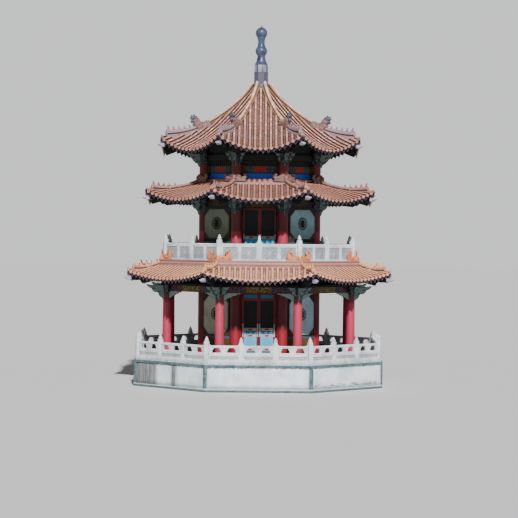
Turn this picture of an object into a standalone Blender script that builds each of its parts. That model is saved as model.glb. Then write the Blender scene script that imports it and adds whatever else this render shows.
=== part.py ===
"""An octagonal masonry pavilion of two storeys under three tiled roofs, from the ground up.

Metres, +Z up. The origin is on the ground under the middle, and the front looks along -Y.
A side is written in its own coordinates: u runs along it, a outwards from the axis, z up.
Side 0 is the front, and the sides are counted anticlockwise from above.
"""

import math

import bmesh
import bpy
from mathutils import Matrix

SIDES = 8
HALF_ANGLE = math.pi / SIDES
TAN = math.tan(HALF_ANGLE)
COS = math.cos(HALF_ANGLE)
SIDE_NAMES = (
    "front",
    "front_right",
    "right",
    "back_right",
    "back",
    "back_left",
    "left",
    "front_left",
)
DOOR_SIDES = (0, 2, 4, 6)
WINDOW_SIDES = (1, 3, 5, 7)

GAP = 0.0003
BITE = 0.01

# Levels of the floors and walls
PODIUM_TOP = 1.24
BALCONY_SOFFIT = 5.62
BALCONY_TOP = 5.85

# Podium: a rendered mass in a raised stone frame
PODIUM_APOTHEM = 5.867
PODIUM_RECESS = 0.045
PODIUM_CORNER_WIDTH = 0.105
PODIUM_FOOT_BAND = 0.14
PODIUM_TOP_BAND = 0.11

# Columns
OUTER_COLUMN_CIRCLE = 4.713
OUTER_COLUMN_FOOT_RADIUS = 0.215
OUTER_COLUMN_HEAD_RADIUS = 0.190
COLUMN_BASE_RADIUS = 0.265
COLUMN_BASE_HEIGHT = 0.14
INNER_COLUMN_CIRCLE = 2.869
INNER_COLUMN_RADIUS = 0.256
INNER_COLUMN_TOP = 11.60
COLUMN_SEGMENTS = 12
WINDOW_SEGMENTS = 12
OUTER_ARMS = ((0.74, 4.33, 4.61), (1.00, 4.61, 4.7547))
MIDDLE_ARMS = ((0.56, 8.24, 8.50), (0.80, 8.50, 8.84))
UPPER_ARMS = ((0.60, 10.54, 10.76), (0.86, 10.76, 11.02))

# Walls between the inner columns
WALL_OUTSIDE = 2.58
WALL_INSIDE = 2.33
WINDOW_WALL_FRONT = 2.85
WINDOW_WALL_HALF = 0.875
DOORWAY_HALF_WIDTH = 0.815
DOOR_LEVEL = 2.50
LEAF_THICKNESS = 0.06
LEAF_PIVOT_U = 0.78
LEAF_CLEARANCE = 0.008
LEAF_MEETING_GAP = 0.004
STILE_WIDTH = 0.095
PANEL_SINKING = 0.014
PIN_RADIUS = 0.014
PIN_SOCKET_RADIUS = 0.0147
PIN_LENGTH = 0.05
LOWER_SILL = 1.34
LOWER_HEAD = 4.40
UPPER_SILL = 5.95
UPPER_HEAD = 8.40
LOWER_LEAF_PANELS = ((1.45, 1.70), (1.80, 2.34), (2.47, 2.66), (2.76, 4.05), (4.15, 4.32))
UPPER_LEAF_PANELS = ((6.05, 6.20), (6.30, 6.98), (7.09, 8.02), (8.12, 8.31))
PLAQUE_WIDTH = 1.64
PLAQUE_CORNER = 0.33
PLAQUE_RELIEF = 0.03
LOWER_PLAQUE = (2.446, 4.261)
UPPER_PLAQUE = (6.99, 8.36)
LOWER_WINDOW_Z = 3.415
UPPER_WINDOW_Z = 7.70
WINDOW_RADIUS = 0.21
WINDOW_RING_RADIUS = 0.31
WINDOW_RING_RELIEF = 0.06

# Balustrade round the podium
PODIUM_RAIL_APOTHEM = 5.676
PODIUM_BAYS = 3
PODIUM_RAIL_TOP = 2.12
PODIUM_POST_TOP = 2.50
PODIUM_POST_HALVES = (0.095, 0.1125)
PODIUM_KERB = (1.44, 0.22)
PODIUM_SCREEN = 0.12
PODIUM_OPENING = (1.80, 2.00)
PODIUM_OPENING_HALVES = (0.24, 0.13)
PODIUM_OPENING_SHARES = (0.29, 0.71)
# Balustrade round the balcony
BALCONY_RAIL_APOTHEM = 4.449
BALCONY_BAYS = 2
BALCONY_RAIL_TOP = 6.75
BALCONY_POST_TOP = 7.15
BALCONY_POST_HALVES = (0.085, 0.11)
BALCONY_KERB = (5.99, 0.18)
BALCONY_SCREEN = 0.10
# Both balustrades: how far the shoulders of the posts stand over the rail
SHOULDER_RISE = 0.15
CORNER_SHOULDER_RISE = 0.17
CORNER_HEAD_RISE = 0.03
RAIL_FLARE = 0.13
HEAD_FOOT_SHARE = 0.8
HEAD_TOP_SHARE = 0.3

# Roofs: apothems, levels and the lift of the corners
LOWER_ROOF = {
    "inner": 4.6003,
    "eave": 6.08,
    "level": 5.10,
    "pitch": 0.40,
    "sweep": 0.015,
    "lift": 0.33,
}
MIDDLE_ROOF = {
    "inner": WALL_OUTSIDE + GAP,
    "eave": 5.26,
    "level": 8.78,
    "pitch": 0.28,
    "sweep": 0.017,
    "lift": 0.44,
}
UPPER_ROOF = {
    "inner": 0.20,
    "eave": 4.60,
    "level": 11.13,
    "pitch": 0.348,
    "sweep": 0.086,
    "lift": 0.60,
}
CORNER_REACH = 0.10
LIFT_POWER = 2.4
ROOF_THICKNESS = 0.13
ROOF_COLUMNS = 4
ROOF_ROWS = 3
ROOF_SEAT = 0.0005
RIDGE_SEAT = 0.0009
RIDGE_THICKNESS = 0.16
HIP_HEIGHT = 0.20
TOP_HIP_HEIGHT = 0.26
HIP_TIP_GAP = 0.05

# Corner beams under the hips, as depths under the roof's surface
CORNER_BEAM_THICKNESS = 0.15
CORNER_BEAM_DEPTHS = (-0.30, -0.05)
CORNER_NOSE_REACH = 0.16
CORNER_NOSE_DEPTHS = (-0.21, -0.15)
LOWER_BEAM_START = 5.02
UPPER_BEAM_START = 2.95

# Ridges at the foot of the walls over the skirt roofs, with their dragon-shaped ends
LOWER_RIDGE = {
    "inner": 4.62,
    "outer": 4.78,
    "top": 6.03,
    "hip_start": 4.90,
    "dragon_height": 0.46,
    "corner_gap": 0.10,
}
MIDDLE_RIDGE = {
    "inner": 2.60,
    "outer": 2.76,
    "top": 9.81,
    "hip_start": 3.00,
    "dragon_height": 0.55,
    "corner_gap": 0.30,
}
DRAGON_THICKNESS = 0.13
DRAGON_OUTLINE = ((0.0, 0.0), (0.0, 0.50), (0.19, 0.95), (0.34, 1.0), (0.36, 0.42), (0.52, 0.0))
COLUMN_COLLAR_RADII = (0.38, 0.32)

# Top roof: the crests of its hips and the collar round the finial's block
TOP_CREST_START = 0.30
TOP_CREST_BREAK = 2.95
TOP_CREST_RESTART = 3.70
HEAD_OUTLINE = ((3.50, 0.20), (3.62, 0.62), (3.42, 0.74), (3.26, 0.42))
HEAD_NECK_RADIUS = 3.2
COLLAR_APOTHEMS = (0.345, 0.55)
COLLAR_TOP = 14.52

# Finial
FINIAL_BLOCK_APOTHEM = 0.335
FINIAL_BLOCK_TOP = 15.38
FINIAL_SPIGOT_APOTHEM = 0.19
FINIAL_SEGMENTS = 16
FINIAL_PROFILE = (
    (0.0, 17.32),
    (0.04, 17.24),
    (0.21, 17.14),
    (0.287, 16.93),
    (0.165, 16.67),
    (0.165, 16.32),
    (0.287, 16.06),
    (0.19, 15.82),
    (0.30, 15.47),
    (0.30, 15.36),
    (0.0, 15.36),
)

# Beams under each roof
OUTER_ARCHITRAVE = (4.465, 4.765)
OUTER_PLATE = (4.755, 4.875)
OUTER_PLATE_HALF_WIDTH = 0.30
MIDDLE_ARCHITRAVE = (8.45, 8.81)
UPPER_ARCHITRAVE = (10.70, 10.96)
ARCHITRAVE_RELIEF = 0.17
ARCHITRAVE_HALF_LENGTH = 0.95
OUTER_BEAM_HALF_WIDTH = 0.12
FRIEZE_HALF_WIDTH = 0.07
WING_THICKNESS = 0.09
WING_START = 0.10
WING_OUTLINE = ((0.0, -0.36), (0.22, -0.34), (0.42, -0.15), (0.92, BITE))
ARM_THICKNESS = 0.16
ARM_NOSE = 0.12

RED_PAINT = (0.47, 0.06, 0.07)
WHITE_RENDER = (0.66, 0.67, 0.66)
STONE = (0.63, 0.65, 0.67)
ROOF_TILE = (0.47, 0.26, 0.18)
RIDGE_TILE = (0.50, 0.27, 0.18)
BRACKET_PAINT = (0.13, 0.20, 0.19)
DOOR_PAINT = (0.28, 0.55, 0.64)
FINIAL_GLAZE = (0.22, 0.26, 0.31)
FLOOR_STONE = (0.45, 0.45, 0.43)


def clear_scene():
    """Removes what the file holds, so that only the pavilion is left."""
    for item in list(bpy.data.objects):
        bpy.data.objects.remove(item)


def make_collection(name, hidden=False):
    """A new collection in the scene; a hidden one holds the cutters."""
    found = bpy.data.collections.new(name)
    bpy.context.scene.collection.children.link(found)
    found.hide_render = hidden
    return found


def make_material(name, colour, roughness, metallic=0.0):
    """A Principled material of one colour."""
    material = bpy.data.materials.new(name)
    material.use_nodes = True
    shader = material.node_tree.nodes["Principled BSDF"]
    shader.inputs["Base Color"].default_value = (*colour, 1.0)
    shader.inputs["Roughness"].default_value = roughness
    shader.inputs["Metallic"].default_value = metallic
    return material


def turn(side):
    """The matrix that turns side 0 into the given side."""
    return Matrix.Rotation(2 * HALF_ANGLE * side, 4, "Z")


def turn_to_corner(corner):
    """The matrix that turns the +X axis into the corner after the given side."""
    return Matrix.Rotation(-math.pi / 2 + HALF_ANGLE * (2 * corner + 1), 4, "Z")


def object_from(bm, name, matrix=None):
    """An object made from a bmesh, in the cutters until it is finished."""
    if matrix is not None:
        bmesh.ops.transform(bm, matrix=matrix, verts=bm.verts)
    mesh = bpy.data.meshes.new(name)
    bm.to_mesh(mesh)
    bm.free()
    made = bpy.data.objects.new(name, mesh)
    CUTTERS.objects.link(made)
    made.hide_render = True
    made.display_type = "WIRE"
    return made


def box(u_range, a_range, z_range, matrix=None):
    """A block on side 0, given by its ranges along u, a and z."""
    bm = bmesh.new()
    bmesh.ops.create_cube(bm, size=1.0)
    spans = (u_range, (-a_range[1], -a_range[0]), z_range)
    for vert in bm.verts:
        for axis, (low, high) in enumerate(spans):
            vert.co[axis] = low if vert.co[axis] < 0 else high
    return object_from(bm, "block", matrix)


def round_bar(radius_low, radius_high, z_range, segments, matrix=None):
    """An upright cylinder or cone on the axis, moved by the matrix."""
    bm = bmesh.new()
    low, high = z_range
    bmesh.ops.create_cone(
        bm,
        cap_ends=True,
        segments=segments,
        radius1=radius_low,
        radius2=radius_high,
        depth=high - low,
    )
    lifted = Matrix.Translation((0, 0, (low + high) / 2))
    return object_from(bm, "bar", lifted if matrix is None else matrix @ lifted)


def octagon(apothem, z_range):
    """An eight-sided prism about the axis, with a flat side at the front."""
    radius = apothem / COS
    return round_bar(radius, radius, z_range, SIDES, Matrix.Rotation(HALF_ANGLE, 4, "Z"))


def plate(outline, thickness, matrix=None):
    """A flat upright plate: the outline's points are (along, z), and it is thick across y."""
    curve = bpy.data.curves.new("outline", "CURVE")
    curve.dimensions = "2D"
    curve.fill_mode = "BOTH"
    curve.extrude = thickness / 2
    spline = curve.splines.new("POLY")
    spline.points.add(len(outline) - 1)
    for point, (along, level) in zip(spline.points, outline):
        point.co = (along, level, 0.0, 1.0)
    spline.use_cyclic_u = True
    drawn = bpy.data.objects.new("outline", curve)
    CUTTERS.objects.link(drawn)
    bpy.context.view_layer.update()
    graph = bpy.context.evaluated_depsgraph_get()
    mesh = bpy.data.meshes.new_from_object(drawn.evaluated_get(graph))
    bpy.data.objects.remove(drawn)
    bm = bmesh.new()
    bm.from_mesh(mesh)
    bpy.data.meshes.remove(mesh)
    bmesh.ops.remove_doubles(bm, verts=bm.verts, dist=1e-5)
    upright = Matrix.Rotation(math.pi / 2, 4, "X")
    return object_from(bm, "plate", upright if matrix is None else matrix @ upright)


def combined(body, tools, operation, keep_tools=False):
    """The body joined with, or cut by, the tools in one go."""
    for tool in tools:
        modifier = body.modifiers.new("Boolean", "BOOLEAN")
        modifier.operation = operation
        modifier.object = tool
    bpy.context.view_layer.update()
    graph = bpy.context.evaluated_depsgraph_get()
    mesh = bpy.data.meshes.new_from_object(body.evaluated_get(graph))
    body.modifiers.clear()
    body.data = mesh
    if not keep_tools:
        for tool in tools:
            bpy.data.objects.remove(tool)
    return body


def joined(body, *tools):
    """The body and the tools as one solid."""
    return combined(body, tools, "UNION")


def cut(body, tools, keep_tools=False):
    """The body less the tools."""
    return combined(body, tools, "DIFFERENCE", keep_tools)


def finish(body, name, material, smooth_below=None):
    """Names a solid, paints it and shows it as a piece of the pavilion."""
    bm = bmesh.new()
    bm.from_mesh(body.data)
    bmesh.ops.dissolve_limit(bm, angle_limit=math.radians(0.02), verts=bm.verts, edges=bm.edges)
    bm.to_mesh(body.data)
    bm.free()
    body.name = name
    body.data.name = name
    body.data.materials.clear()
    body.data.materials.append(material)
    CUTTERS.objects.unlink(body)
    PAVILION.objects.link(body)
    body.hide_render = False
    body.display_type = "TEXTURED"
    if smooth_below is not None:
        body.data.shade_smooth()
        body.data.set_sharp_from_angle(angle=math.radians(smooth_below))
    return body


def copy_round(body, names, material, smooth_below=None):
    """Finishes the body as side 0's piece and puts turned copies on the other sides."""
    finish(body, names[0], material, smooth_below)
    for side, name in enumerate(names):
        if side:
            other = bpy.data.objects.new(name, body.data)
            PAVILION.objects.link(other)
            other.matrix_world = turn(side)


def column_cutters():
    """Upright cutters a hair wider than the inner columns, for all that fits round them."""
    radius = INNER_COLUMN_RADIUS + GAP
    place = Matrix.Translation((INNER_COLUMN_CIRCLE, 0, 0))
    span = (PODIUM_TOP - 1.0, INNER_COLUMN_TOP + 2.0)
    return [
        round_bar(radius, radius, span, COLUMN_SEGMENTS, turn_to_corner(corner) @ place)
        for corner in range(SIDES)
    ]


# Podium


def build_podium(material):
    """The rendered octagonal mass, with panels sunk between its bands and corner posts."""
    body = octagon(PODIUM_APOTHEM, (0.0, PODIUM_TOP))
    half = PODIUM_APOTHEM * TAN - PODIUM_CORNER_WIDTH
    panels = [
        box(
            (-half, half),
            (PODIUM_APOTHEM - PODIUM_RECESS, PODIUM_APOTHEM + 1.0),
            (PODIUM_FOOT_BAND, PODIUM_TOP - PODIUM_TOP_BAND),
            turn(side),
        )
        for side in range(SIDES)
    ]
    finish(cut(body, panels), "podium", material)


# Balustrades


def post_with_head(u, apothem, half_width, levels, segments, rotation=0.0):
    """A stone post whose head narrows to a blunt point; levels are foot, shoulder and top."""
    foot, shoulder, top = levels
    place = Matrix.Translation((u, -apothem, 0)) @ Matrix.Rotation(rotation, 4, "Z")
    radius = half_width / math.cos(math.pi / segments)
    shaft = round_bar(radius, radius, (foot, shoulder), segments, place)
    radii = (HEAD_FOOT_SHARE * radius, HEAD_TOP_SHARE * radius)
    head = round_bar(*radii, (shoulder - BITE, top), segments, place)
    return joined(shaft, head)


def swept_top(posts, rail_top, flare, half_post):
    """The rail's top line from post to post, rising in a quarter round beside each post."""
    points = []
    steps = (0.0, 0.5, 1.0)
    for left, right in zip(posts, posts[1:]):
        for step in steps:
            angle = step * math.pi / 2
            along = left + half_post - 0.004 + flare * math.sin(angle)
            points.append((along, rail_top + flare * math.cos(angle)))
        for step in reversed(steps):
            angle = step * math.pi / 2
            along = right - half_post + 0.004 - flare * math.sin(angle)
            points.append((along, rail_top + flare * math.cos(angle)))
    cleaned = [points[0]]
    for point in points[1:]:
        if abs(point[0] - cleaned[-1][0]) > 1e-6 or abs(point[1] - cleaned[-1][1]) > 1e-6:
            cleaned.append(point)
    return cleaned


def side_posts(apothem, bays):
    """Where the posts of a side stand, from corner to corner."""
    half = apothem * TAN
    return [-half + 2 * half * bay / bays for bay in range(bays + 1)]


def balustrade_side(apothem, posts, foot, tops, half_posts, kerb, screen_width, holes):
    """One side of a balustrade, with its kerb and the corner post at its right end.

    The tops are the rail's and the posts', and the kerb is given by its top and its width.
    """
    rail_top, post_top = tops
    half_post, half_corner = half_posts
    kerb_top, kerb_width = kerb
    start = posts[0] + half_corner + GAP
    end = posts[-1] - half_corner + BITE
    top_line = swept_top(posts, rail_top, RAIL_FLARE, half_post)
    top_line = [
        (max(start + 0.002, min(end - 0.002, along)), level) for along, level in top_line
    ]
    outline = [(start + 0.002, foot + BITE), (end - 0.002, foot + BITE), *reversed(top_line)]
    stand = Matrix.Translation((0, -apothem, 0))
    pierced = [plate(shape, 3 * screen_width, stand) for shape in holes]
    screen = cut(plate(outline, screen_width, stand), pierced)
    half_kerb = kerb_width / 2
    body = box((start, end), (apothem - half_kerb, apothem + half_kerb), (foot, kerb_top))
    levels = (foot, rail_top + SHOULDER_RISE, post_top)
    middles = [
        post_with_head(u, apothem, half_post, levels, 4, math.pi / 4) for u in posts[1:-1]
    ]
    levels = (foot, rail_top + CORNER_SHOULDER_RISE, post_top + CORNER_HEAD_RISE)
    corner = post_with_head(posts[-1], apothem, half_corner, levels, SIDES, HALF_ANGLE)
    return joined(body, screen, *middles, corner)


def pierced_openings(posts):
    """The openings under the podium's rail: two in each bay, wider at the foot."""
    low, high = PODIUM_OPENING
    foot, head = PODIUM_OPENING_HALVES
    middles = [
        left + share * (right - left)
        for left, right in zip(posts, posts[1:])
        for share in PODIUM_OPENING_SHARES
    ]
    return [
        [
            (middle - foot, low),
            (middle + foot, low),
            (middle + head, high),
            (middle - head, high),
        ]
        for middle in middles
    ]


def build_balustrades(material):
    """The pierced balustrade round the podium and the closed one round the balcony."""
    posts = side_posts(PODIUM_RAIL_APOTHEM, PODIUM_BAYS)
    podium = balustrade_side(
        PODIUM_RAIL_APOTHEM,
        posts,
        PODIUM_TOP + GAP,
        (PODIUM_RAIL_TOP, PODIUM_POST_TOP),
        PODIUM_POST_HALVES,
        PODIUM_KERB,
        PODIUM_SCREEN,
        pierced_openings(posts),
    )
    copy_round(podium, [f"podium_balustrade_{name}" for name in SIDE_NAMES], material)
    balcony = balustrade_side(
        BALCONY_RAIL_APOTHEM,
        side_posts(BALCONY_RAIL_APOTHEM, BALCONY_BAYS),
        BALCONY_TOP + GAP,
        (BALCONY_RAIL_TOP, BALCONY_POST_TOP),
        BALCONY_POST_HALVES,
        BALCONY_KERB,
        BALCONY_SCREEN,
        (),
    )
    copy_round(balcony, [f"balcony_balustrade_{name}" for name in SIDE_NAMES], material)


# Columns


def bracket_arm(circle, start, steps):
    """A stepped arm that reaches out from a column; each step is (reach, low, high)."""
    outline = [(circle + start, steps[0][1])]
    for reach, low, high in steps:
        outline += [
            (circle + reach - ARM_NOSE, low),
            (circle + reach, low + 0.4 * (high - low)),
            (circle + reach, high),
        ]
    outline.append((circle + start, steps[-1][2]))
    return plate(outline, ARM_THICKNESS)


def outer_column(growth=0.0):
    """A tapered outer column, or a cutter that is wider by the growth."""
    return round_bar(
        OUTER_COLUMN_FOOT_RADIUS + growth,
        OUTER_COLUMN_HEAD_RADIUS + growth,
        (PODIUM_TOP + GAP, OUTER_PLATE[0] - GAP),
        COLUMN_SEGMENTS,
        Matrix.Translation((OUTER_COLUMN_CIRCLE, 0, 0)),
    )


def build_outer_columns(material):
    """Eight round columns, each with a low round base and a bracket arm at its head."""
    foot = PODIUM_TOP + GAP
    base = round_bar(
        COLUMN_BASE_RADIUS,
        COLUMN_BASE_RADIUS - 0.03,
        (foot, foot + COLUMN_BASE_HEIGHT),
        COLUMN_SEGMENTS,
        Matrix.Translation((OUTER_COLUMN_CIRCLE, 0, 0)),
    )
    body = joined(outer_column(), base, bracket_arm(OUTER_COLUMN_CIRCLE, 0.10, OUTER_ARMS))
    body.data.transform(turn_to_corner(0))
    names = [f"outer_column_{number + 1}" for number in range(SIDES)]
    copy_round(body, names, material, smooth_below=40)


def build_inner_columns(material):
    """Eight round columns through both storeys, with an arm under each upper roof."""
    body = round_bar(
        INNER_COLUMN_RADIUS,
        INNER_COLUMN_RADIUS,
        (PODIUM_TOP + GAP, INNER_COLUMN_TOP),
        COLUMN_SEGMENTS,
        Matrix.Translation((INNER_COLUMN_CIRCLE, 0, 0)),
    )
    arms = [bracket_arm(INNER_COLUMN_CIRCLE, 0.15, arm) for arm in (MIDDLE_ARMS, UPPER_ARMS)]
    body = joined(body, *arms)
    body.data.transform(turn_to_corner(0))
    names = [f"inner_column_{number + 1}" for number in range(SIDES)]
    copy_round(body, names, material, smooth_below=40)


# Walls and doors


def wall_panel(z_range, outside=WALL_OUTSIDE):
    """A stretch of wall on side 0, mitred to its neighbours behind the columns."""
    body = box((-outside, outside), (WALL_INSIDE, outside), z_range)
    for vert in body.data.vertices:
        reach = -vert.co.y * TAN - GAP
        vert.co.x = math.copysign(reach, vert.co.x)
    return body


def window_wall_panel(z_range):
    """A stretch of wall on side 0 whose middle comes forward between the columns."""
    body = wall_panel(z_range, WINDOW_WALL_FRONT)
    levels = (z_range[0] - 1.0, z_range[1] + 1.0)
    depth = (WALL_OUTSIDE, WINDOW_WALL_FRONT + 1.0)
    spans = ((WINDOW_WALL_HALF, 4.0), (-4.0, -WINDOW_WALL_HALF))
    return cut(body, [box(span, depth, levels) for span in spans])


def plaque(levels, window_z, side):
    """The raised plaster plaque with cut corners, and the ring round its round window."""
    low, high = levels
    half = PLAQUE_WIDTH / 2
    inset = half - PLAQUE_CORNER
    outline = [
        (-inset, low),
        (inset, low),
        (half, low + PLAQUE_CORNER),
        (half, high - PLAQUE_CORNER),
        (inset, high),
        (-inset, high),
        (-half, high - PLAQUE_CORNER),
        (-half, low + PLAQUE_CORNER),
    ]
    depth = 2 * PLAQUE_RELIEF
    slab = plate(outline, depth, turn(side) @ Matrix.Translation((0, -WINDOW_WALL_FRONT, 0)))
    ring = window_bar(WINDOW_RING_RADIUS, WINDOW_RING_RELIEF, window_z, side)
    return slab, ring


def window_bar(radius, half_depth, window_z, side):
    """A round bar across the wall at a window."""
    lying = Matrix.Translation((0, -WINDOW_WALL_FRONT, window_z)) @ Matrix.Rotation(
        math.pi / 2, 4, "X"
    )
    return round_bar(radius, radius, (-half_depth, half_depth), WINDOW_SEGMENTS, turn(side) @ lying)


def build_lower_window_wall(side, columns, material):
    """A wall of the lower storey with its plaque and its round window cut through."""
    body = window_wall_panel((PODIUM_TOP + GAP, BALCONY_SOFFIT - GAP))
    body.data.transform(turn(side))
    body = joined(body, *plaque(LOWER_PLAQUE, LOWER_WINDOW_Z, side))
    hole = window_bar(WINDOW_RADIUS, 1.0, LOWER_WINDOW_Z, side)
    body = cut(cut(body, [hole]), columns, keep_tools=True)
    finish(body, f"lower_wall_{SIDE_NAMES[side]}", material)


def door_panels(panels, side, edge_range, faces_cut):
    """Blocks that sink the panels of a leaf into its outer face, or into both its faces."""
    low, high = sorted(edge_range)
    faces = (
        (DOOR_LEVEL + LEAF_THICKNESS / 2 - PANEL_SINKING, DOOR_LEVEL + LEAF_THICKNESS),
        (DOOR_LEVEL - LEAF_THICKNESS, DOOR_LEVEL - LEAF_THICKNESS / 2 + PANEL_SINKING),
    )[:faces_cut]
    return [
        box((low + STILE_WIDTH, high - STILE_WIDTH), face, levels, turn(side))
        for levels in panels
        for face in faces
    ]


def closed_leaves(panels, z_range, side, overlap):
    """Two closed door leaves as one slab with a groove between them."""
    reach = DOORWAY_HALF_WIDTH + overlap
    faces = (DOOR_LEVEL - LEAF_THICKNESS / 2, DOOR_LEVEL + LEAF_THICKNESS / 2)
    body = box((-reach, reach), faces, z_range, turn(side))
    groove = box(
        (-LEAF_MEETING_GAP, LEAF_MEETING_GAP),
        (faces[1] - PANEL_SINKING, faces[1] + 1.0),
        (z_range[0] - 1.0, z_range[1] + 1.0),
        turn(side),
    )
    cutters = [groove]
    for sign in (-1, 1):
        cutters += door_panels(panels, side, (0.0, sign * DOORWAY_HALF_WIDTH), 1)
    return cut(body, cutters)


def door_wall(side):
    """A wall of the lower storey with its doorway cut through down to the sill."""
    body = wall_panel((PODIUM_TOP + GAP, BALCONY_SOFFIT - GAP))
    body.data.transform(turn(side))
    doorway = box(
        (-DOORWAY_HALF_WIDTH, DOORWAY_HALF_WIDTH),
        (WALL_INSIDE - 1.0, WALL_OUTSIDE + 1.0),
        (LOWER_SILL, LOWER_HEAD),
        turn(side),
    )
    return cut(body, [doorway])


def build_front_door_frame(columns, material):
    """The front doorway's jambs, sill and head, with sockets for the leaves' pins."""
    sockets = [
        round_bar(
            PIN_SOCKET_RADIUS,
            PIN_SOCKET_RADIUS,
            levels,
            16,
            Matrix.Translation((sign * LEAF_PIVOT_U, -DOOR_LEVEL, 0)),
        )
        for sign in (-1, 1)
        for levels in (
            (LOWER_SILL - PIN_LENGTH, LOWER_SILL + BITE),
            (LOWER_HEAD - BITE, LOWER_HEAD + PIN_LENGTH),
        )
    ]
    body = cut(cut(door_wall(0), columns, keep_tools=True), sockets)
    finish(body, "front_door_frame", material)


def build_closed_doorset(side, columns, material):
    """A doorway of the lower storey that stays shut: frame and leaves in one."""
    leaves = closed_leaves(LOWER_LEAF_PANELS, (LOWER_SILL - BITE, LOWER_HEAD + BITE), side, BITE)
    body = cut(joined(door_wall(side), leaves), columns, keep_tools=True)
    finish(body, f"lower_doorset_{SIDE_NAMES[side]}", material)


def build_front_leaf(sign, name, material):
    """One leaf of the front door, with a rounded pivot stile and a pin at each end."""
    low, high = LOWER_SILL + LEAF_CLEARANCE, LOWER_HEAD - LEAF_CLEARANCE
    edges = sorted((sign * LEAF_MEETING_GAP, sign * LEAF_PIVOT_U))
    faces = (-LEAF_THICKNESS / 2, LEAF_THICKNESS / 2)
    body = box(edges, (DOOR_LEVEL + faces[0], DOOR_LEVEL + faces[1]), (low, high))
    panels = door_panels(
        LOWER_LEAF_PANELS, 0, (sign * LEAF_MEETING_GAP, sign * DOORWAY_HALF_WIDTH), 2
    )
    pivot = Matrix.Translation((sign * LEAF_PIVOT_U, -DOOR_LEVEL, 0))
    stile = round_bar(LEAF_THICKNESS / 2, LEAF_THICKNESS / 2, (low, high), 16, pivot)
    reach = PIN_LENGTH - LEAF_CLEARANCE / 2
    pin = round_bar(
        PIN_RADIUS, PIN_RADIUS, (LOWER_SILL - reach, LOWER_HEAD + reach), 16, pivot
    )
    body = joined(cut(body, panels), stile, pin)
    body.data.transform(pivot.inverted())
    finish(body, name, material)
    body.matrix_world = pivot


def build_upper_walls(columns, material):
    """The wall ring of the upper storey, with the beams under the middle and top roofs."""
    roof_underside = chord_level(UPPER_ROOF, WALL_OUTSIDE) - ROOF_THICKNESS
    body = octagon(WALL_OUTSIDE, (BALCONY_TOP - 0.5, roof_underside - GAP))
    raised = []
    for side in WINDOW_SIDES:
        raised.append(
            box(
                (-WINDOW_WALL_HALF, WINDOW_WALL_HALF),
                (WALL_OUTSIDE - BITE, WINDOW_WALL_FRONT),
                (BALCONY_TOP - 0.3, MIDDLE_ARCHITRAVE[0] + BITE),
                turn(side),
            )
        )
        raised += plaque(UPPER_PLAQUE, UPPER_WINDOW_Z, side)
    edge = (WALL_OUTSIDE - BITE, WALL_OUTSIDE + ARCHITRAVE_RELIEF)
    for levels in (MIDDLE_ARCHITRAVE, UPPER_ARCHITRAVE):
        span = (-ARCHITRAVE_HALF_LENGTH, ARCHITRAVE_HALF_LENGTH)
        raised += [box(span, edge, levels, turn(side)) for side in range(SIDES)]
    body = joined(body, *raised)
    holes = [octagon(WALL_INSIDE, (BALCONY_TOP - 1.0, roof_underside + 1.0))]
    holes.append(octagon(WINDOW_WALL_FRONT + 1.0, (BALCONY_TOP - 1.2, BALCONY_TOP + GAP)))
    holes += [window_bar(WINDOW_RADIUS, 1.0, UPPER_WINDOW_Z, side) for side in WINDOW_SIDES]
    for side in DOOR_SIDES:
        holes.append(
            box(
                (-DOORWAY_HALF_WIDTH, DOORWAY_HALF_WIDTH),
                (WALL_INSIDE - 1.0, WALL_OUTSIDE + 1.0),
                (UPPER_SILL, UPPER_HEAD),
                turn(side),
            )
        )
    body = cut(cut(body, holes), columns, keep_tools=True)
    finish(body, "upper_walls", material)


def build_upper_doors(side, material):
    """The two shut leaves of an upper doorway."""
    body = closed_leaves(UPPER_LEAF_PANELS, (UPPER_SILL + GAP, UPPER_HEAD - GAP), side, -GAP)
    finish(body, f"upper_doors_{SIDE_NAMES[side]}", material)


def build_balcony_slab(columns, material):
    """The octagonal floor slab of the upper storey, which runs out as the balcony."""
    body = octagon(LOWER_ROOF["inner"] - GAP, (BALCONY_SOFFIT, BALCONY_TOP))
    finish(cut(body, columns, keep_tools=True), "balcony_slab", material)


# Roofs


def roof_level(roof, apothem, corner_share):
    """The height of a roof's surface: a swept slope that lifts towards the corners."""
    fall = roof["eave"] - apothem
    out = (apothem - roof["inner"]) / (roof["eave"] - roof["inner"])
    lift = roof["lift"] * max(out, 0.0) ** LIFT_POWER * corner_share**2
    return roof["level"] + roof["pitch"] * fall + roof["sweep"] * fall**2 + lift


def roof_edge(roof, out):
    """The apothem of a roof's surface at a share of the way out."""
    return roof["inner"] + out * (roof["eave"] - roof["inner"])


def chord_level(roof, apothem):
    """The height of the flat facets at the middle of a side."""
    width = (roof["eave"] - roof["inner"]) / ROOF_ROWS
    row = min(int((apothem - roof["inner"]) / width), ROOF_ROWS - 1)
    near, far = roof["inner"] + row * width, roof["inner"] + (row + 1) * width
    share = (apothem - near) / width
    return (1 - share) * roof_level(roof, near, 0.0) + share * roof_level(roof, far, 0.0)


def hip_points(roof):
    """The hip's corners on the roof's surface as (radius, level), from the top down."""
    points = []
    for row in range(ROOF_ROWS + 1):
        out = row / ROOF_ROWS
        apothem = roof_edge(roof, out)
        radius = (apothem + CORNER_REACH * out**2) / COS
        points.append((radius, roof_level(roof, apothem, 1.0)))
    return points


def hip_strip(roof, start, end, below, above):
    """The side view of a strip along a hip, between two heights over the roof's surface."""
    points = hip_points(roof)
    inside = [point for point in points if start < point[0] < end]
    line = [(start, hip_level(points, start)), *inside, (end, hip_level(points, end))]
    low = [(radius, level + below) for radius, level in line]
    high = [(radius, level + above) for radius, level in reversed(line)]
    return low, high


def hip_level(points, radius):
    """The height of the hip's chords at a radius."""
    for (near, high), (far, low) in zip(points, points[1:]):
        if radius <= far:
            break
    return high + (radius - near) / (far - near) * (low - high)


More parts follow.
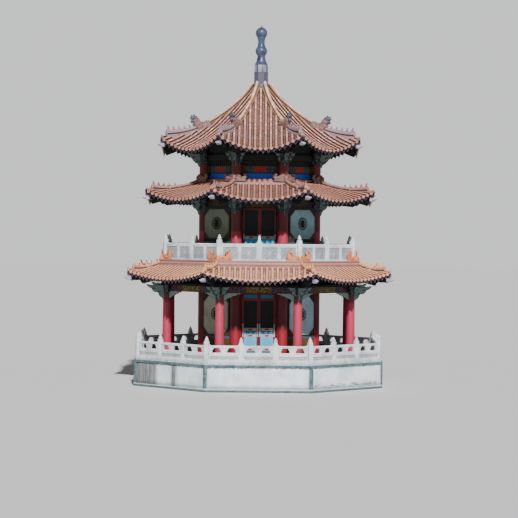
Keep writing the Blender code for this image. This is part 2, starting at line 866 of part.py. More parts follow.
def roof_slab(roof, thickness, raised=0.0):
    """The eight swept slopes of a roof as one slab of even height."""
    bm = bmesh.new()
    for side in range(SIDES):
        grid = bmesh.ops.create_grid(
            bm, x_segments=ROOF_COLUMNS, y_segments=ROOF_ROWS, size=1.0
        )
        for vert in grid["verts"]:
            along, out = vert.co.x, (1.0 - vert.co.y) / 2
            apothem = roof_edge(roof, out)
            level = roof_level(roof, apothem, along) + raised
            apothem += CORNER_REACH * (out * along) ** 2
            vert.co = (along * apothem * TAN, -apothem, level)
        bmesh.ops.transform(bm, matrix=turn(side), verts=grid["verts"])
    bmesh.ops.remove_doubles(bm, verts=bm.verts, dist=1e-5)
    bmesh.ops.recalc_face_normals(bm, faces=bm.faces)
    under = bmesh.ops.extrude_face_region(bm, geom=bm.faces[:])
    moved = [item for item in under["geom"] if isinstance(item, bmesh.types.BMVert)]
    bmesh.ops.translate(bm, vec=(0, 0, -thickness), verts=moved)
    bmesh.ops.recalc_face_normals(bm, faces=bm.faces)
    bmesh.ops.triangulate(bm, faces=bm.faces)
    return object_from(bm, "roof")


def corner_beams(roof, start):
    """The beam under each hip, which ends in a nose beyond the tiles."""
    tip, nose = hip_points(roof)[-1]
    low, high = hip_strip(roof, start, tip - 0.02, *CORNER_BEAM_DEPTHS)
    end = [(tip + CORNER_NOSE_REACH, nose + depth) for depth in CORNER_NOSE_DEPTHS]
    outline = [*low, *end, *high]
    return [
        plate(outline, CORNER_BEAM_THICKNESS, turn_to_corner(corner)) for corner in range(SIDES)
    ]


def build_roof(roof, name, beam_start, columns, material):
    """A tiled roof: the swept slab and its eight corner beams."""
    body = joined(roof_slab(roof, ROOF_THICKNESS), *corner_beams(roof, beam_start))
    if columns:
        body = cut(body, columns, keep_tools=True)
    finish(body, name, material)


def ridge_dragons(ridge):
    """Dragon-shaped end pieces on the wall ridge, their tails curled up beside each corner."""
    apothem = (ridge["inner"] + ridge["outer"]) / 2
    base = ridge["top"] - BITE
    near = apothem * TAN - ridge["corner_gap"]
    outline = [
        (near - back, base + share * ridge["dragon_height"]) for back, share in DRAGON_OUTLINE
    ]
    mirrored = [(-along, level) for along, level in reversed(outline)]
    stand = Matrix.Translation((0, -apothem, 0))
    return [
        plate(shape, DRAGON_THICKNESS, turn(side) @ stand)
        for side in range(SIDES)
        for shape in (outline, mirrored)
    ]


def column_collars(z_range):
    """Thick collars round the inner columns, where the wall ridge meets the hips."""
    place = Matrix.Translation((INNER_COLUMN_CIRCLE, 0, 0))
    return [
        round_bar(*COLUMN_COLLAR_RADII, z_range, COLUMN_SEGMENTS, turn_to_corner(corner) @ place)
        for corner in range(SIDES)
    ]


def build_wall_ridges(roof, name, ridge, columns, material):
    """The ridge at the foot of the wall above a skirt roof, its dragons and its eight hips."""
    top = ridge["top"]
    surface = roof_level(roof, ridge["outer"], 0.0)
    body = octagon(ridge["outer"], (surface - 0.05, top))
    if columns:
        body = joined(body, *column_collars((surface - 0.15, top + 0.14)))
    body = cut(body, [roof_slab(roof, ROOF_THICKNESS + 0.3, raised=ROOF_SEAT)])
    tip = hip_points(roof)[-1][0] - HIP_TIP_GAP
    low, high = hip_strip(roof, ridge["hip_start"], tip, RIDGE_SEAT, HIP_HEIGHT)
    hips = [plate(low + high, RIDGE_THICKNESS, turn_to_corner(n)) for n in range(SIDES)]
    body = joined(body, *hips, *ridge_dragons(ridge))
    body = cut(body, [octagon(ridge["inner"], (surface - 1.0, top + 2.0))])
    if columns:
        body = cut(body, columns, keep_tools=True)
    finish(body, name, material)


def build_upper_ridges(material):
    """The eight hips of the top roof, each with a dragon head before its low end."""
    roof = UPPER_ROOF
    tip = hip_points(roof)[-1][0] - HIP_TIP_GAP
    low, _ = hip_strip(roof, TOP_CREST_START, tip, RIDGE_SEAT, 0.0)
    _, lower_crest = hip_strip(roof, TOP_CREST_RESTART, tip, 0.0, HIP_HEIGHT)
    _, upper_crest = hip_strip(roof, TOP_CREST_START, TOP_CREST_BREAK, 0.0, TOP_HIP_HEIGHT)
    neck = roof_level(roof, HEAD_NECK_RADIUS * COS, 1.0)
    head = [(radius, neck + rise) for radius, rise in HEAD_OUTLINE]
    outline = [*low, *lower_crest, *head, *upper_crest]
    hips = [plate(outline, RIDGE_THICKNESS, turn_to_corner(n)) for n in range(SIDES)]
    inner, outer = COLLAR_APOTHEMS
    foot = hip_level(hip_points(roof), inner / COS) + RIDGE_SEAT
    collar = octagon(outer, (foot, COLLAR_TOP))
    body = cut(joined(collar, *hips), [octagon(inner, (foot - 1.0, COLLAR_TOP + 1.0))])
    finish(body, "upper_roof_ridges", material)


def build_finial(material):
    """The turned finial on its eight-sided block at the apex of the top roof."""
    mesh = bpy.data.meshes.new("profile")
    points = [(radius, 0.0, level) for radius, level in FINIAL_PROFILE]
    mesh.from_pydata(points, [(i, i + 1) for i in range(len(points) - 1)], [])
    turned = bpy.data.objects.new("profile", mesh)
    CUTTERS.objects.link(turned)
    screw = turned.modifiers.new("Screw", "SCREW")
    screw.steps = screw.render_steps = FINIAL_SEGMENTS
    screw.use_merge_vertices = True
    screw.merge_threshold = 0.0001
    turned = combined(turned, [], "UNION")
    foot = chord_level(UPPER_ROOF, UPPER_ROOF["inner"]) + ROOF_SEAT
    block = octagon(FINIAL_BLOCK_APOTHEM, (foot, FINIAL_BLOCK_TOP))
    spigot = octagon(FINIAL_SPIGOT_APOTHEM, (foot - 0.3, foot + BITE))
    finish(joined(block, spigot, turned), "finial", material, smooth_below=35)


# Beams


def build_outer_beam_ring(material):
    """The ring of beams on the outer columns, with its frieze and its wing brackets."""
    line = OUTER_COLUMN_CIRCLE * COS
    half = line * TAN
    low, high = line - OUTER_PLATE_HALF_WIDTH, line + OUTER_PLATE_HALF_WIDTH
    frieze_top = BALCONY_SOFFIT - GAP
    frieze = octagon(line + FRIEZE_HALF_WIDTH, (OUTER_PLATE[1] - BITE, frieze_top))
    soffit = OUTER_ARCHITRAVE[0]
    width = (line - OUTER_BEAM_HALF_WIDTH, line + OUTER_BEAM_HALF_WIDTH)
    beams = [box((-half, half), width, OUTER_ARCHITRAVE, turn(side)) for side in range(SIDES)]
    edge = half - WING_START
    wing = [(edge, soffit + BITE)]
    wing += [(edge - back, soffit + drop) for back, drop in WING_OUTLINE]
    mirrored = [(-along, level) for along, level in reversed(wing)]
    stand = Matrix.Translation((0, -line, 0))
    wings = [
        plate(shape, WING_THICKNESS, turn(side) @ stand)
        for side in range(SIDES)
        for shape in (wing, mirrored)
    ]
    body = joined(octagon(high, OUTER_PLATE), frieze, *beams, *wings)
    body = cut(body, [octagon(low, (0.0, OUTER_PLATE[1] + BITE))])
    body = cut(body, [octagon(line - FRIEZE_HALF_WIDTH, (OUTER_PLATE[1] - BITE, 6.0))])
    holes = []
    for corner in range(SIDES):
        hole = outer_column(growth=GAP + 0.0002)
        hole.data.transform(Matrix.Translation((0, 0, GAP)))
        hole.data.transform(turn_to_corner(corner))
        holes.append(hole)
    finish(cut(body, holes), "outer_beam_ring", material)


def build_pavilion():
    """Every piece, from the ground up."""
    red = make_material("red_paint", RED_PAINT, 0.55)
    render_white = make_material("white_render", WHITE_RENDER, 0.9)
    stone = make_material("balustrade_stone", STONE, 0.85)
    tile = make_material("roof_tile", ROOF_TILE, 0.6)
    ridge_tile = make_material("ridge_tile", RIDGE_TILE, 0.6)
    painted = make_material("bracket_paint", BRACKET_PAINT, 0.6)
    door = make_material("door_paint", DOOR_PAINT, 0.5)
    glaze = make_material("finial_glaze", FINIAL_GLAZE, 0.4)
    floor = make_material("floor_stone", FLOOR_STONE, 0.85)
    columns = column_cutters()

    build_podium(render_white)
    build_balustrades(stone)
    build_outer_columns(red)
    build_inner_columns(red)
    build_outer_beam_ring(painted)

    for side in WINDOW_SIDES:
        build_lower_window_wall(side, columns, render_white)
    build_front_door_frame(columns, red)
    build_front_leaf(-1, "front_door_leaf_left", door)
    build_front_leaf(1, "front_door_leaf_right", door)
    for side in DOOR_SIDES[1:]:
        build_closed_doorset(side, columns, red)

    build_balcony_slab(columns, floor)
    build_roof(LOWER_ROOF, "lower_roof", LOWER_BEAM_START, None, tile)
    build_wall_ridges(LOWER_ROOF, "lower_roof_ridges", LOWER_RIDGE, None, ridge_tile)

    build_upper_walls(columns, render_white)
    for side in DOOR_SIDES:
        build_upper_doors(side, door)
    build_roof(MIDDLE_ROOF, "middle_roof", UPPER_BEAM_START, columns, tile)
    build_wall_ridges(MIDDLE_ROOF, "middle_roof_ridges", MIDDLE_RIDGE, columns, ridge_tile)
    build_roof(UPPER_ROOF, "upper_roof", UPPER_BEAM_START, None, tile)
    build_upper_ridges(ridge_tile)
    build_finial(glaze)


clear_scene()
PAVILION = make_collection("pavilion")
CUTTERS = make_collection("cutters", hidden=True)
build_pavilion()
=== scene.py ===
"""The looks of the octagonal pavilion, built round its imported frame.

Lengths are metres, +Z is up, and the origin is on the ground under the axis. A side is written
in its own coordinates: u runs along it, a outwards from the axis and z up. A corner is written
as r outwards from the axis, w across the hip and z up. Side 0 is the front.
"""

import logging
import math
from dataclasses import dataclass
from enum import Enum
from typing import Callable, Sequence

import bmesh
import bpy
import numpy as np
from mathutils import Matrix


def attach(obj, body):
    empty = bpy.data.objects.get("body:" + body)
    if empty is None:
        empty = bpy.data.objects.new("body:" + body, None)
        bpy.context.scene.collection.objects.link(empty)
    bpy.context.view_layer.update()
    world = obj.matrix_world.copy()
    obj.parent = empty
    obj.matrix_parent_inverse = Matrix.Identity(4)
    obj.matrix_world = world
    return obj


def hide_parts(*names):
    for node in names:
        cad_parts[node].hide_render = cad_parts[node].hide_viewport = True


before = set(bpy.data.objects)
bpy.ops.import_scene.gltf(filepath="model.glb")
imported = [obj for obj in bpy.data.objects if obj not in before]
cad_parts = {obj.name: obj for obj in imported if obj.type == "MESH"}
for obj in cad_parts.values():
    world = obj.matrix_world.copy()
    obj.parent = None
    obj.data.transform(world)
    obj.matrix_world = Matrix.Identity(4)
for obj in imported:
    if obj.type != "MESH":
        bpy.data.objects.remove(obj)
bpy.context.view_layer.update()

Array = np.ndarray
Colour = tuple[float, float, float]
Span = tuple[float, float]
Outline = tuple[tuple[float, float], ...]
Placer = Callable[[Array, Array | float, Array], Array]

LOG = logging.getLogger("pavilion")
SIDES = 8
HALF_ANGLE = math.pi / SIDES
TAN = math.tan(HALF_ANGLE)
COS = math.cos(HALF_ANGLE)
SIDE_NAMES = (
    "front", "front_right", "right", "back_right", "back", "back_left", "left", "front_left",
)
DOOR_SIDES = (0, 2, 4, 6)
WINDOW_SIDES = (1, 3, 5, 7)
WALL_FACE = 2.58
WINDOW_WALL_FACE = 2.85
PODIUM_TOP = 1.24
SHARP_ANGLE = math.radians(38.0)
MERGE_DISTANCE = 1e-6
# How far the tones of a side's copy move on, so that no two sides look the same.
TONE_TURN = 0.618
# The highest tone; on the stone it means no painted shade.
# It stays under 1, which a joined draft turns into 0.
FULL_TONE = 1.0 - 1e-6


def paint(red: int, green: int, blue: int) -> Colour:
    """Screen values from 0 to 255 as the linear colour that shaders take."""
    shares = (value / 255.0 for value in (red, green, blue))
    return tuple(s / 12.92 if s <= 0.04045 else ((s + 0.055) / 1.055) ** 2.4 for s in shares)


# Meshes


def grid_faces(rows: int, columns: int, loop_rows: bool, loop_columns: bool) -> Array:
    """Joins a grid of points into quads.

    Args:
        rows: Number of rows of points.
        columns: Number of points in a row.
        loop_rows: Whether the last row joins the first.
        loop_columns: Whether the last column joins the first.

    Returns:
        An array of four point numbers for each quad.
    """
    row = np.arange(rows if loop_rows else rows - 1)
    column = np.arange(columns if loop_columns else columns - 1)
    i, j = np.meshgrid(row, column, indexing="ij")
    i_next, j_next = (i + 1) % rows, (j + 1) % columns
    corners = (i * columns + j, i * columns + j_next, i_next * columns + j_next, i_next * columns + j)
    return np.stack(corners, -1).reshape(-1, 4)


def turn(side: float) -> Array:
    """The matrix that turns side 0 into the given side."""
    angle = 2 * HALF_ANGLE * side
    c, s = math.cos(angle), math.sin(angle)
    return np.array(((c, -s, 0.0), (s, c, 0.0), (0.0, 0.0, 1.0)))


def on_side(u: Array | float, a: Array | float, z: Array | float) -> Array:
    """Points of side 0 from their u, a and z."""
    u, a, z = np.broadcast_arrays(*(np.asarray(value, float) for value in (u, a, z)))
    return np.stack((u, -a, z), -1)


def on_corner(r: Array | float, w: Array | float, z: Array | float) -> Array:
    """Points of the corner after side 0 from their r, w and z."""
    r, w, z = np.broadcast_arrays(*(np.asarray(value, float) for value in (r, w, z)))
    angle = -math.pi / 2 + HALF_ANGLE
    c, s = math.cos(angle), math.sin(angle)
    return np.stack((r * c - w * s, r * s + w * c, z), -1)


class Draft:
    """Patches of surface that are to become one mesh."""

    def __init__(self) -> None:
        """Starts with no points."""
        self.points: list[Array] = []
        self.flows: list[Array] = []
        self.tones: list[Array] = []
        self.faces: list[Array] = []
        self.marks: list[int] = []
        self.total = 0

    def patch(
        self,
        points: Array,
        faces: Sequence[Array],
        mark: int = 0,
        flow: Array | None = None,
        tone: Array | float = 0.5,
    ) -> None:
        """Adds points and the faces between them.

        Args:
            points: Points in metres, in any grid.
            faces: Arrays of point numbers, one row for each face.
            mark: Which of the piece's finishes the faces take.
            flow: Two pattern coordinates for each point.
            tone: A value from 0 to 1 for each point, or for all.
        """
        points = np.asarray(points, float).reshape(-1, 3)
        count = len(points)
        flow = np.zeros((count, 2)) if flow is None else np.asarray(flow, float).reshape(-1, 2)
        self.points.append(points)
        self.flows.append(flow)
        self.tones.append(np.broadcast_to(np.asarray(tone, float).ravel(), (count,)))
        for group in faces:
            self.faces.append(np.asarray(group, int) + self.total)
            self.marks.append(mark)
        self.total += count

    def tube(
        self,
        rings: Array,
        mark: int = 0,
        flow: Array | None = None,
        tone: Array | float = 0.5,
        loop: bool = False,
    ) -> None:
        """Adds the closed skin through a row of rings.

        Args:
            rings: Points in metres, ring after ring.
            mark: Which of the piece's finishes it takes.
            flow: Two pattern coordinates for each point.
            tone: A value from 0 to 1 for each point, or for all.
            loop: Whether the last ring joins the first; if not, both ends are capped.
        """
        rows, columns = rings.shape[:2]
        faces = [grid_faces(rows, columns, loop, True)]
        if not loop:
            cap = np.arange(columns)[None]
            faces += [cap[:, ::-1], cap + (rows - 1) * columns]
        self.patch(rings, faces, mark, flow, tone)

    def include(self, other: "Draft", matrix: Array | None = None, shift: float = 0.0) -> None:
        """Adds another draft's patches.

        Args:
            other: The draft to copy.
            matrix: How its points are turned.
            shift: How far its tones move on, past 1 back to 0.
        """
        if not other.total:
            return
        points = np.concatenate(other.points)
        self.points.append(points if matrix is None else points @ matrix.T)
        self.flows.append(np.concatenate(other.flows))
        self.tones.append((np.concatenate(other.tones) + shift) % 1.0)
        self.faces += [group + self.total for group in other.faces]
        self.marks += other.marks
        self.total += len(points)

    def around(self, sides: Sequence[int] = range(SIDES), varied: bool = False) -> "Draft":
        """Copies of the draft on other sides, their tones shifted if varied."""
        made = Draft()
        for side in sides:
            made.include(self, turn(side), TONE_TURN * side if varied else 0.0)
        return made

    def mirrored(self) -> "Draft":
        """The draft with its mirror image across the middle of side 0."""
        made = Draft()
        made.include(self)
        made.include(self, np.diag((-1.0, 1.0, 1.0)))
        return made


def make_piece(
    name: str,
    draft: Draft,
    finishes: Sequence["Finish"],
    body: str = "building",
    nodes: Sequence[str] = (),
) -> None:
    """Turns a draft into a piece that rides on a body, smooth between its sharp edges.

    Args:
        name: The piece's name.
        draft: Its patches.
        finishes: Its finishes, in the order of the patches' marks.
        body: The body that it rides on.
        nodes: The nodes of the frame that it stands for.
    """
    mesh = bpy.data.meshes.new(name)
    points = np.concatenate(draft.points)
    loops = np.concatenate([group.ravel() for group in draft.faces])
    sizes = np.concatenate([np.full(len(group), group.shape[1]) for group in draft.faces])
    marks = np.concatenate(
        [np.full(len(group), mark) for group, mark in zip(draft.faces, draft.marks)]
    )
    mesh.vertices.add(len(points))
    mesh.vertices.foreach_set("co", points.astype(np.float32).ravel())
    mesh.loops.add(len(loops))
    mesh.loops.foreach_set("vertex_index", loops.astype(np.int32))
    mesh.polygons.add(len(sizes))
    mesh.polygons.foreach_set("loop_start", (np.cumsum(sizes) - sizes).astype(np.int32))
    mesh.polygons.foreach_set("material_index", marks.astype(np.int32))
    flow = mesh.uv_layers.new(name="flow")
    flow.data.foreach_set("uv", np.concatenate(draft.flows)[loops].astype(np.float32).ravel())
    tone = mesh.attributes.new("tone", "FLOAT", "POINT")
    tone.data.foreach_set("value", np.concatenate(draft.tones).astype(np.float32))
    mesh.update(calc_edges=True)
    bm = bmesh.new()
    bm.from_mesh(mesh)
    bmesh.ops.remove_doubles(bm, verts=bm.verts, dist=MERGE_DISTANCE)
    bmesh.ops.recalc_face_normals(bm, faces=bm.faces)
    bm.to_mesh(mesh)
    bm.free()
    mesh.shade_smooth()
    mesh.set_sharp_from_angle(angle=SHARP_ANGLE)
    for finish in finishes:
        mesh.materials.append(finish.material())
    piece = bpy.data.objects.new(name, mesh)
    bpy.context.scene.collection.objects.link(piece)
    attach(piece, body)
    if nodes:
        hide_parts(*nodes)
    LOG.info("%s: %d faces", name, len(mesh.polygons))


def dress_node(node: str, finish: "Finish") -> None:
    """Gives a node of the frame, which keeps its shape, its finish."""
    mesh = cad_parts[node].data
    mesh.materials.clear()
    mesh.materials.append(finish.material())
    LOG.info("%s: kept from the frame", node)


# Shapes


def block_rings(u: Span, a: Span, z: Span, chamfer: float) -> Array:
    """A block with its edges cut off.

    Four eight-sided rings follow each other along u: the section is the rectangle of a and z
    with its corners cut by the chamfer, and the end rings are smaller all round by the chamfer.

    Args:
        u: Range along the side.
        a: Range outwards.
        z: Range up.
        chamfer: Width of the cut edges.

    Returns:
        Rings of points on side 0.
    """
    c = chamfer
    inset = np.array((c, 0.0, 0.0, c))
    stations = np.array((u[0], u[0] + c, u[1] - c, u[1]))[:, None]
    low_a, high_a = a[0] + inset, a[1] - inset
    low_z, high_z = z[0] + inset, z[1] - inset
    across = (high_a - c, high_a, high_a, high_a - c, low_a + c, low_a, low_a, low_a + c)
    level = (low_z, low_z + c, high_z - c, high_z, high_z, high_z - c, low_z + c, low_z)
    return on_side(stations, np.stack(across, -1), np.stack(level, -1))


def swept(path: Array, lateral: Array, section: Array, scale: Array | float = 1.0) -> Array:
    """A section carried along a path.

    Each point of the section is the path's point, plus its first number times the lateral
    direction, plus its second times the upward normal, which is square to path and lateral.

    Args:
        path: Points along the path.
        lateral: The sideways direction of the section.
        section: Sideways and upward numbers of the section's points.
        scale: Size of the section at each point of the path.

    Returns:
        Rings of points along the path.
    """
    along = np.gradient(path, axis=0)
    lateral = np.broadcast_to(np.asarray(lateral, float), path.shape)
    up = np.cross(lateral, along)
    up /= np.linalg.norm(up, axis=1, keepdims=True)
    up *= np.sign(up[:, 2:])
    scale = np.broadcast_to(np.asarray(scale, float), (len(path),))[:, None, None]
    sideways = section[None, :, 0, None] * lateral[:, None]
    upwards = section[None, :, 1, None] * up[:, None]
    return path[:, None] + scale * (sideways + upwards)


def lathe(profile: Outline, segments: int, squareness: Array | float = 0.0) -> Array:
    """A profile of radius and height turned about the upright axis.

    The radius at an angle is the profile's radius times the superellipse of the squareness:
    0 is round, and 1 is nearly square with its sides at the profile's radius.

    Args:
        profile: Radius and height of each ring.
        segments: Points in a ring.
        squareness: How square each ring is, or all of them.

    Returns:
        Rings of points about the axis.
    """
    radius, height = (np.array(profile, float)[:, k, None] for k in (0, 1))
    angle = 2 * math.pi * (np.arange(segments) + 0.5) / segments
    power = 2.0 + 10.0 * np.broadcast_to(squareness, (len(profile),))[:, None]
    c, s = np.cos(angle), np.sin(angle)
    stretch = (np.abs(c) ** power + np.abs(s) ** power) ** (-1 / power)
    return np.stack(np.broadcast_arrays(radius * stretch * c, radius * stretch * s, height), -1)


def octagon_rings(profile: Outline) -> Array:
    """A closed section of apothem and height carried round the eight corners."""
    apothem, height = (np.array(profile, float)[:, k] for k in (0, 1))
    ring = on_corner(apothem / COS, 0.0, height)
    return np.stack([ring @ turn(side).T for side in range(SIDES)])


def plate_rings(outline: Array, thickness: float, chamfer: float, place: Placer) -> Array:
    """A flat plate with chamfered edges.

    Four rings lie across the thickness: the outline drawn in by the chamfer, the outline
    twice, and the drawn-in outline again. Each point moves in along the mean of its two
    edges' normals.

    Args:
        outline: Points of the closed outline as two numbers each.
        thickness: Thickness of the plate.
        chamfer: Width of the cut edge.
        place: Turns the outline's two numbers and the depth into points.

    Returns:
        Rings of points across the thickness.
    """
    outline = np.asarray(outline, float)
    along = np.roll(outline, -1, 0) - np.roll(outline, 1, 0)
    along /= np.maximum(np.linalg.norm(along, axis=1, keepdims=True), 1e-9)
    area = np.sum(outline[:, 0] * np.roll(outline[:, 1], -1) - np.roll(outline[:, 0], -1) * outline[:, 1])
    inwards = np.stack((-along[:, 1], along[:, 0]), -1) * (1.0 if area > 0 else -1.0)
    drawn_in = outline + chamfer * inwards
    half = thickness / 2
    layers = ((drawn_in, -half), (outline, chamfer - half), (outline, half - chamfer), (drawn_in, half))
    return np.stack([place(shape[:, 0], depth, shape[:, 1]) for shape, depth in layers])


def plate_tone(rings: Array) -> Array:
    """Tones of a plate's four rings: rubbed on its two faces, and half as much on its edge."""
    return np.broadcast_to(np.array((FULL_TONE, 0.5, 0.5, FULL_TONE))[:, None], rings.shape[:2])


def on_side_plate(apothem: float) -> Placer:
    """Places an upright plate along side 0, its depth outwards from an apothem."""
    return lambda u, depth, z: on_side(u, apothem + depth, z)


def from_column(circle: float, turned: float) -> Placer:
    """Places an upright plate that leaves the column after side 0.

    Args:
        circle: Radius of the ring of columns.
        turned: Angle in degrees from straight outwards.

    Returns:
        Turns the distance from the column's axis, the depth and the level into points.
    """
    c, s = math.cos(math.radians(turned)), math.sin(math.radians(turned))
    return lambda r, depth, z: on_corner(circle + r * c - depth * s, r * s + depth * c, z)


# Finishes


class Value:
    """An output of a material's node; sums and products of values are Math nodes."""

    def __init__(self, recipe: "Recipe", socket: bpy.types.NodeSocket) -> None:
        """Holds the recipe that the value belongs to and its socket."""
        self.recipe = recipe
        self.socket = socket

    def __add__(self, other: "Term") -> "Value":
        """The value plus another."""
        return self.recipe.math("ADD", self, other)

    def __sub__(self, other: "Term") -> "Value":
        """The value less another."""
        return self.recipe.math("SUBTRACT", self, other)

    def __rsub__(self, other: float) -> "Value":
        """A number less the value."""
        return self.recipe.math("SUBTRACT", other, self)

    def __mul__(self, other: "Term") -> "Value":
        """The value times another."""
        return self.recipe.math("MULTIPLY", self, other)

    def __truediv__(self, other: "Term") -> "Value":
        """The value over another."""
        return self.recipe.math("DIVIDE", self, other)

    def __abs__(self) -> "Value":
        """The value without its sign."""
        return self.recipe.math("ABSOLUTE", self)


Term = Value | float


class Recipe:
    """Writes a material's nodes in few words."""

    def __init__(self, name: str, roughness: float, specular: float = 0.4) -> None:
        """Starts a material.

        Args:
            name: Its name.
            roughness: Its roughness where nothing else sets it.
            specular: Its specular level.
        """
        self.made = bpy.data.materials.new(name)
        self.made.use_nodes = True
        self.tree = self.made.node_tree
        self.shader = self.tree.nodes["Principled BSDF"]
        self.shader.inputs["Roughness"].default_value = roughness
        self.shader.inputs["Specular IOR Level"].default_value = specular
        self.place = self.node("TexCoord", {}, "Object")

    def feed(self, socket: bpy.types.NodeSocket, term: Term | Colour) -> None:
        """Links a socket to a value, or sets it to a number, a vector or a colour."""
        if isinstance(term, Value):
            self.tree.links.new(term.socket, socket)
        elif isinstance(term, tuple) and socket.type == "RGBA":
            socket.default_value = (*term, 1.0)
        else:
            socket.default_value = term

    def node(
        self, kind: str, terms: dict, output: int | str = 0, **settings: str | bool
    ) -> Value:
        """Makes a node.

        Args:
            kind: Its type, without the words that all types start with.
            terms: What its sockets are fed, by their numbers or names.
            output: The output that is wanted.
            settings: Its other settings.

        Returns:
            The output's value.
        """
        node = self.tree.nodes.new(f"ShaderNode{kind}")
        for name, setting in settings.items():
            setattr(node, name, setting)
        for socket, term in terms.items():
            self.feed(node.inputs[socket], term)
        return Value(self, node.outputs[output])

    def math(self, operation: str, *terms: Term, clamp: bool = False) -> Value:
        """The result of a Math node."""
        return self.node("Math", dict(enumerate(terms)), operation=operation, use_clamp=clamp)

    def ramp(self, term: Term, low: float, high: float) -> Value:
        """0 below low, 1 above high and a smooth step between; high may be the lower one."""
        falling = float(high < low)
        terms = (term, min(low, high), max(low, high), falling, 1.0 - falling)
        return self.node("MapRange", dict(enumerate(terms)), interpolation_type="SMOOTHSTEP")

    def within(self, term: Term, low: float, high: float, soft: float) -> Value:
        """1 between low and high and 0 outside, with soft ends."""
        return self.ramp(term, low - soft, low + soft) * self.ramp(term, high + soft, high - soft)

    def mix(self, share: Term, low: Value | Colour, high: Value | Colour) -> Value:
        """A colour between two, by share."""
        return self.node("Mix", {0: share, 6: low, 7: high}, 2, data_type="RGBA")

    def layers(self, base: Value | Colour, *coats: tuple[Term, Value | Colour]) -> Value:
        """The base colour under coats, each a share and a colour."""
        for share, colour in coats:
            base = self.mix(share, base, colour)
        return base

    def stretched(self, x: float, y: float, z: float) -> Value:
        """The place, scaled along each axis."""
        return self.node("Mapping", {"Vector": self.place, "Scale": (x, y, z)})

    def noise(self, scale: float, place: Value | None = None, detail: float = 4.0) -> Value:
        """Cloudy noise from 0 to 1."""
        terms = {"Vector": place or self.place, "Scale": scale, "Detail": detail, "Roughness": 0.6}
        return self.node("TexNoise", terms, "Fac")

    def cells(self, scale: float) -> Value:
        """Random grey cells from 0 to 1."""
        colour = self.node("TexVoronoi", {"Vector": self.place, "Scale": scale}, "Color")
        return self.node("SeparateColor", {0: colour})

    def joined(self, x: Term, y: Term, z: Term) -> Value:
        """Three numbers as a vector."""
        return self.node("CombineXYZ", {0: x, 1: y, 2: z})

    def split(self, vector: Value) -> tuple[Value, Value, Value]:
        """A vector's three numbers."""
        first = self.node("SeparateXYZ", {0: vector})
        return tuple(Value(self, socket) for socket in first.socket.node.outputs)

    def octagon(self) -> tuple[Value, Value, Value, Value]:
        """The place in a side's coordinates.

        The angle from the front is rounded to whole eighths of a turn, which is the side; what
        is left of the angle gives u and a by its sine and cosine.

        Returns:
            The place as u, a and z of its side, and the side's number from -4 to 4.
        """
        x, y, z = self.split(self.place)
        angle = self.math("ARCTAN2", x, y * -1.0)
        side = self.math("ROUND", angle / (2 * HALF_ANGLE))
        rest = angle - side * (2 * HALF_ANGLE)
        radius = self.math("SQRT", x * x + y * y)
        return radius * self.math("SINE", rest), radius * self.math("COSINE", rest), z, side

    def flow(self) -> tuple[Value, Value]:
        """The piece's two pattern coordinates."""
        return self.split(self.node("UVMap", {}, uv_map="flow"))[:2]

    def tone(self) -> Value:
        """The piece's own value from 0 to 1."""
        return self.node("Attribute", {}, "Fac", attribute_name="tone")

    def finish(
        self,
        colour: Value,
        roughness: Value | None = None,
        bump: Value | None = None,
        depth: float = 0.01,
    ) -> bpy.types.Material:
        """Wires the shader.

        Args:
            colour: The surface's colour.
            roughness: Its roughness, if it varies.
            bump: Its fine relief from 0 to 1.
            depth: The height of that relief in metres.

        Returns:
            The material.
        """
        self.feed(self.shader.inputs["Base Color"], colour)
        if roughness is not None:
            self.feed(self.shader.inputs["Roughness"], roughness)
        if bump is not None:
            relief = self.node("Bump", {"Distance": depth, "Strength": 0.8, "Height": bump})
            self.feed(self.shader.inputs["Normal"], relief)
        return self.made


class Finish:
    """A finish whose material is made once."""

    made: dict["Finish", bpy.types.Material] = {}

    def material(self) -> bpy.types.Material:
        """The finish's material."""
        if self not in Finish.made:
            Finish.made[self] = self.recipe()
        return Finish.made[self]

    def recipe(self) -> bpy.types.Material:
        """Writes the material's nodes."""
        raise NotImplementedError


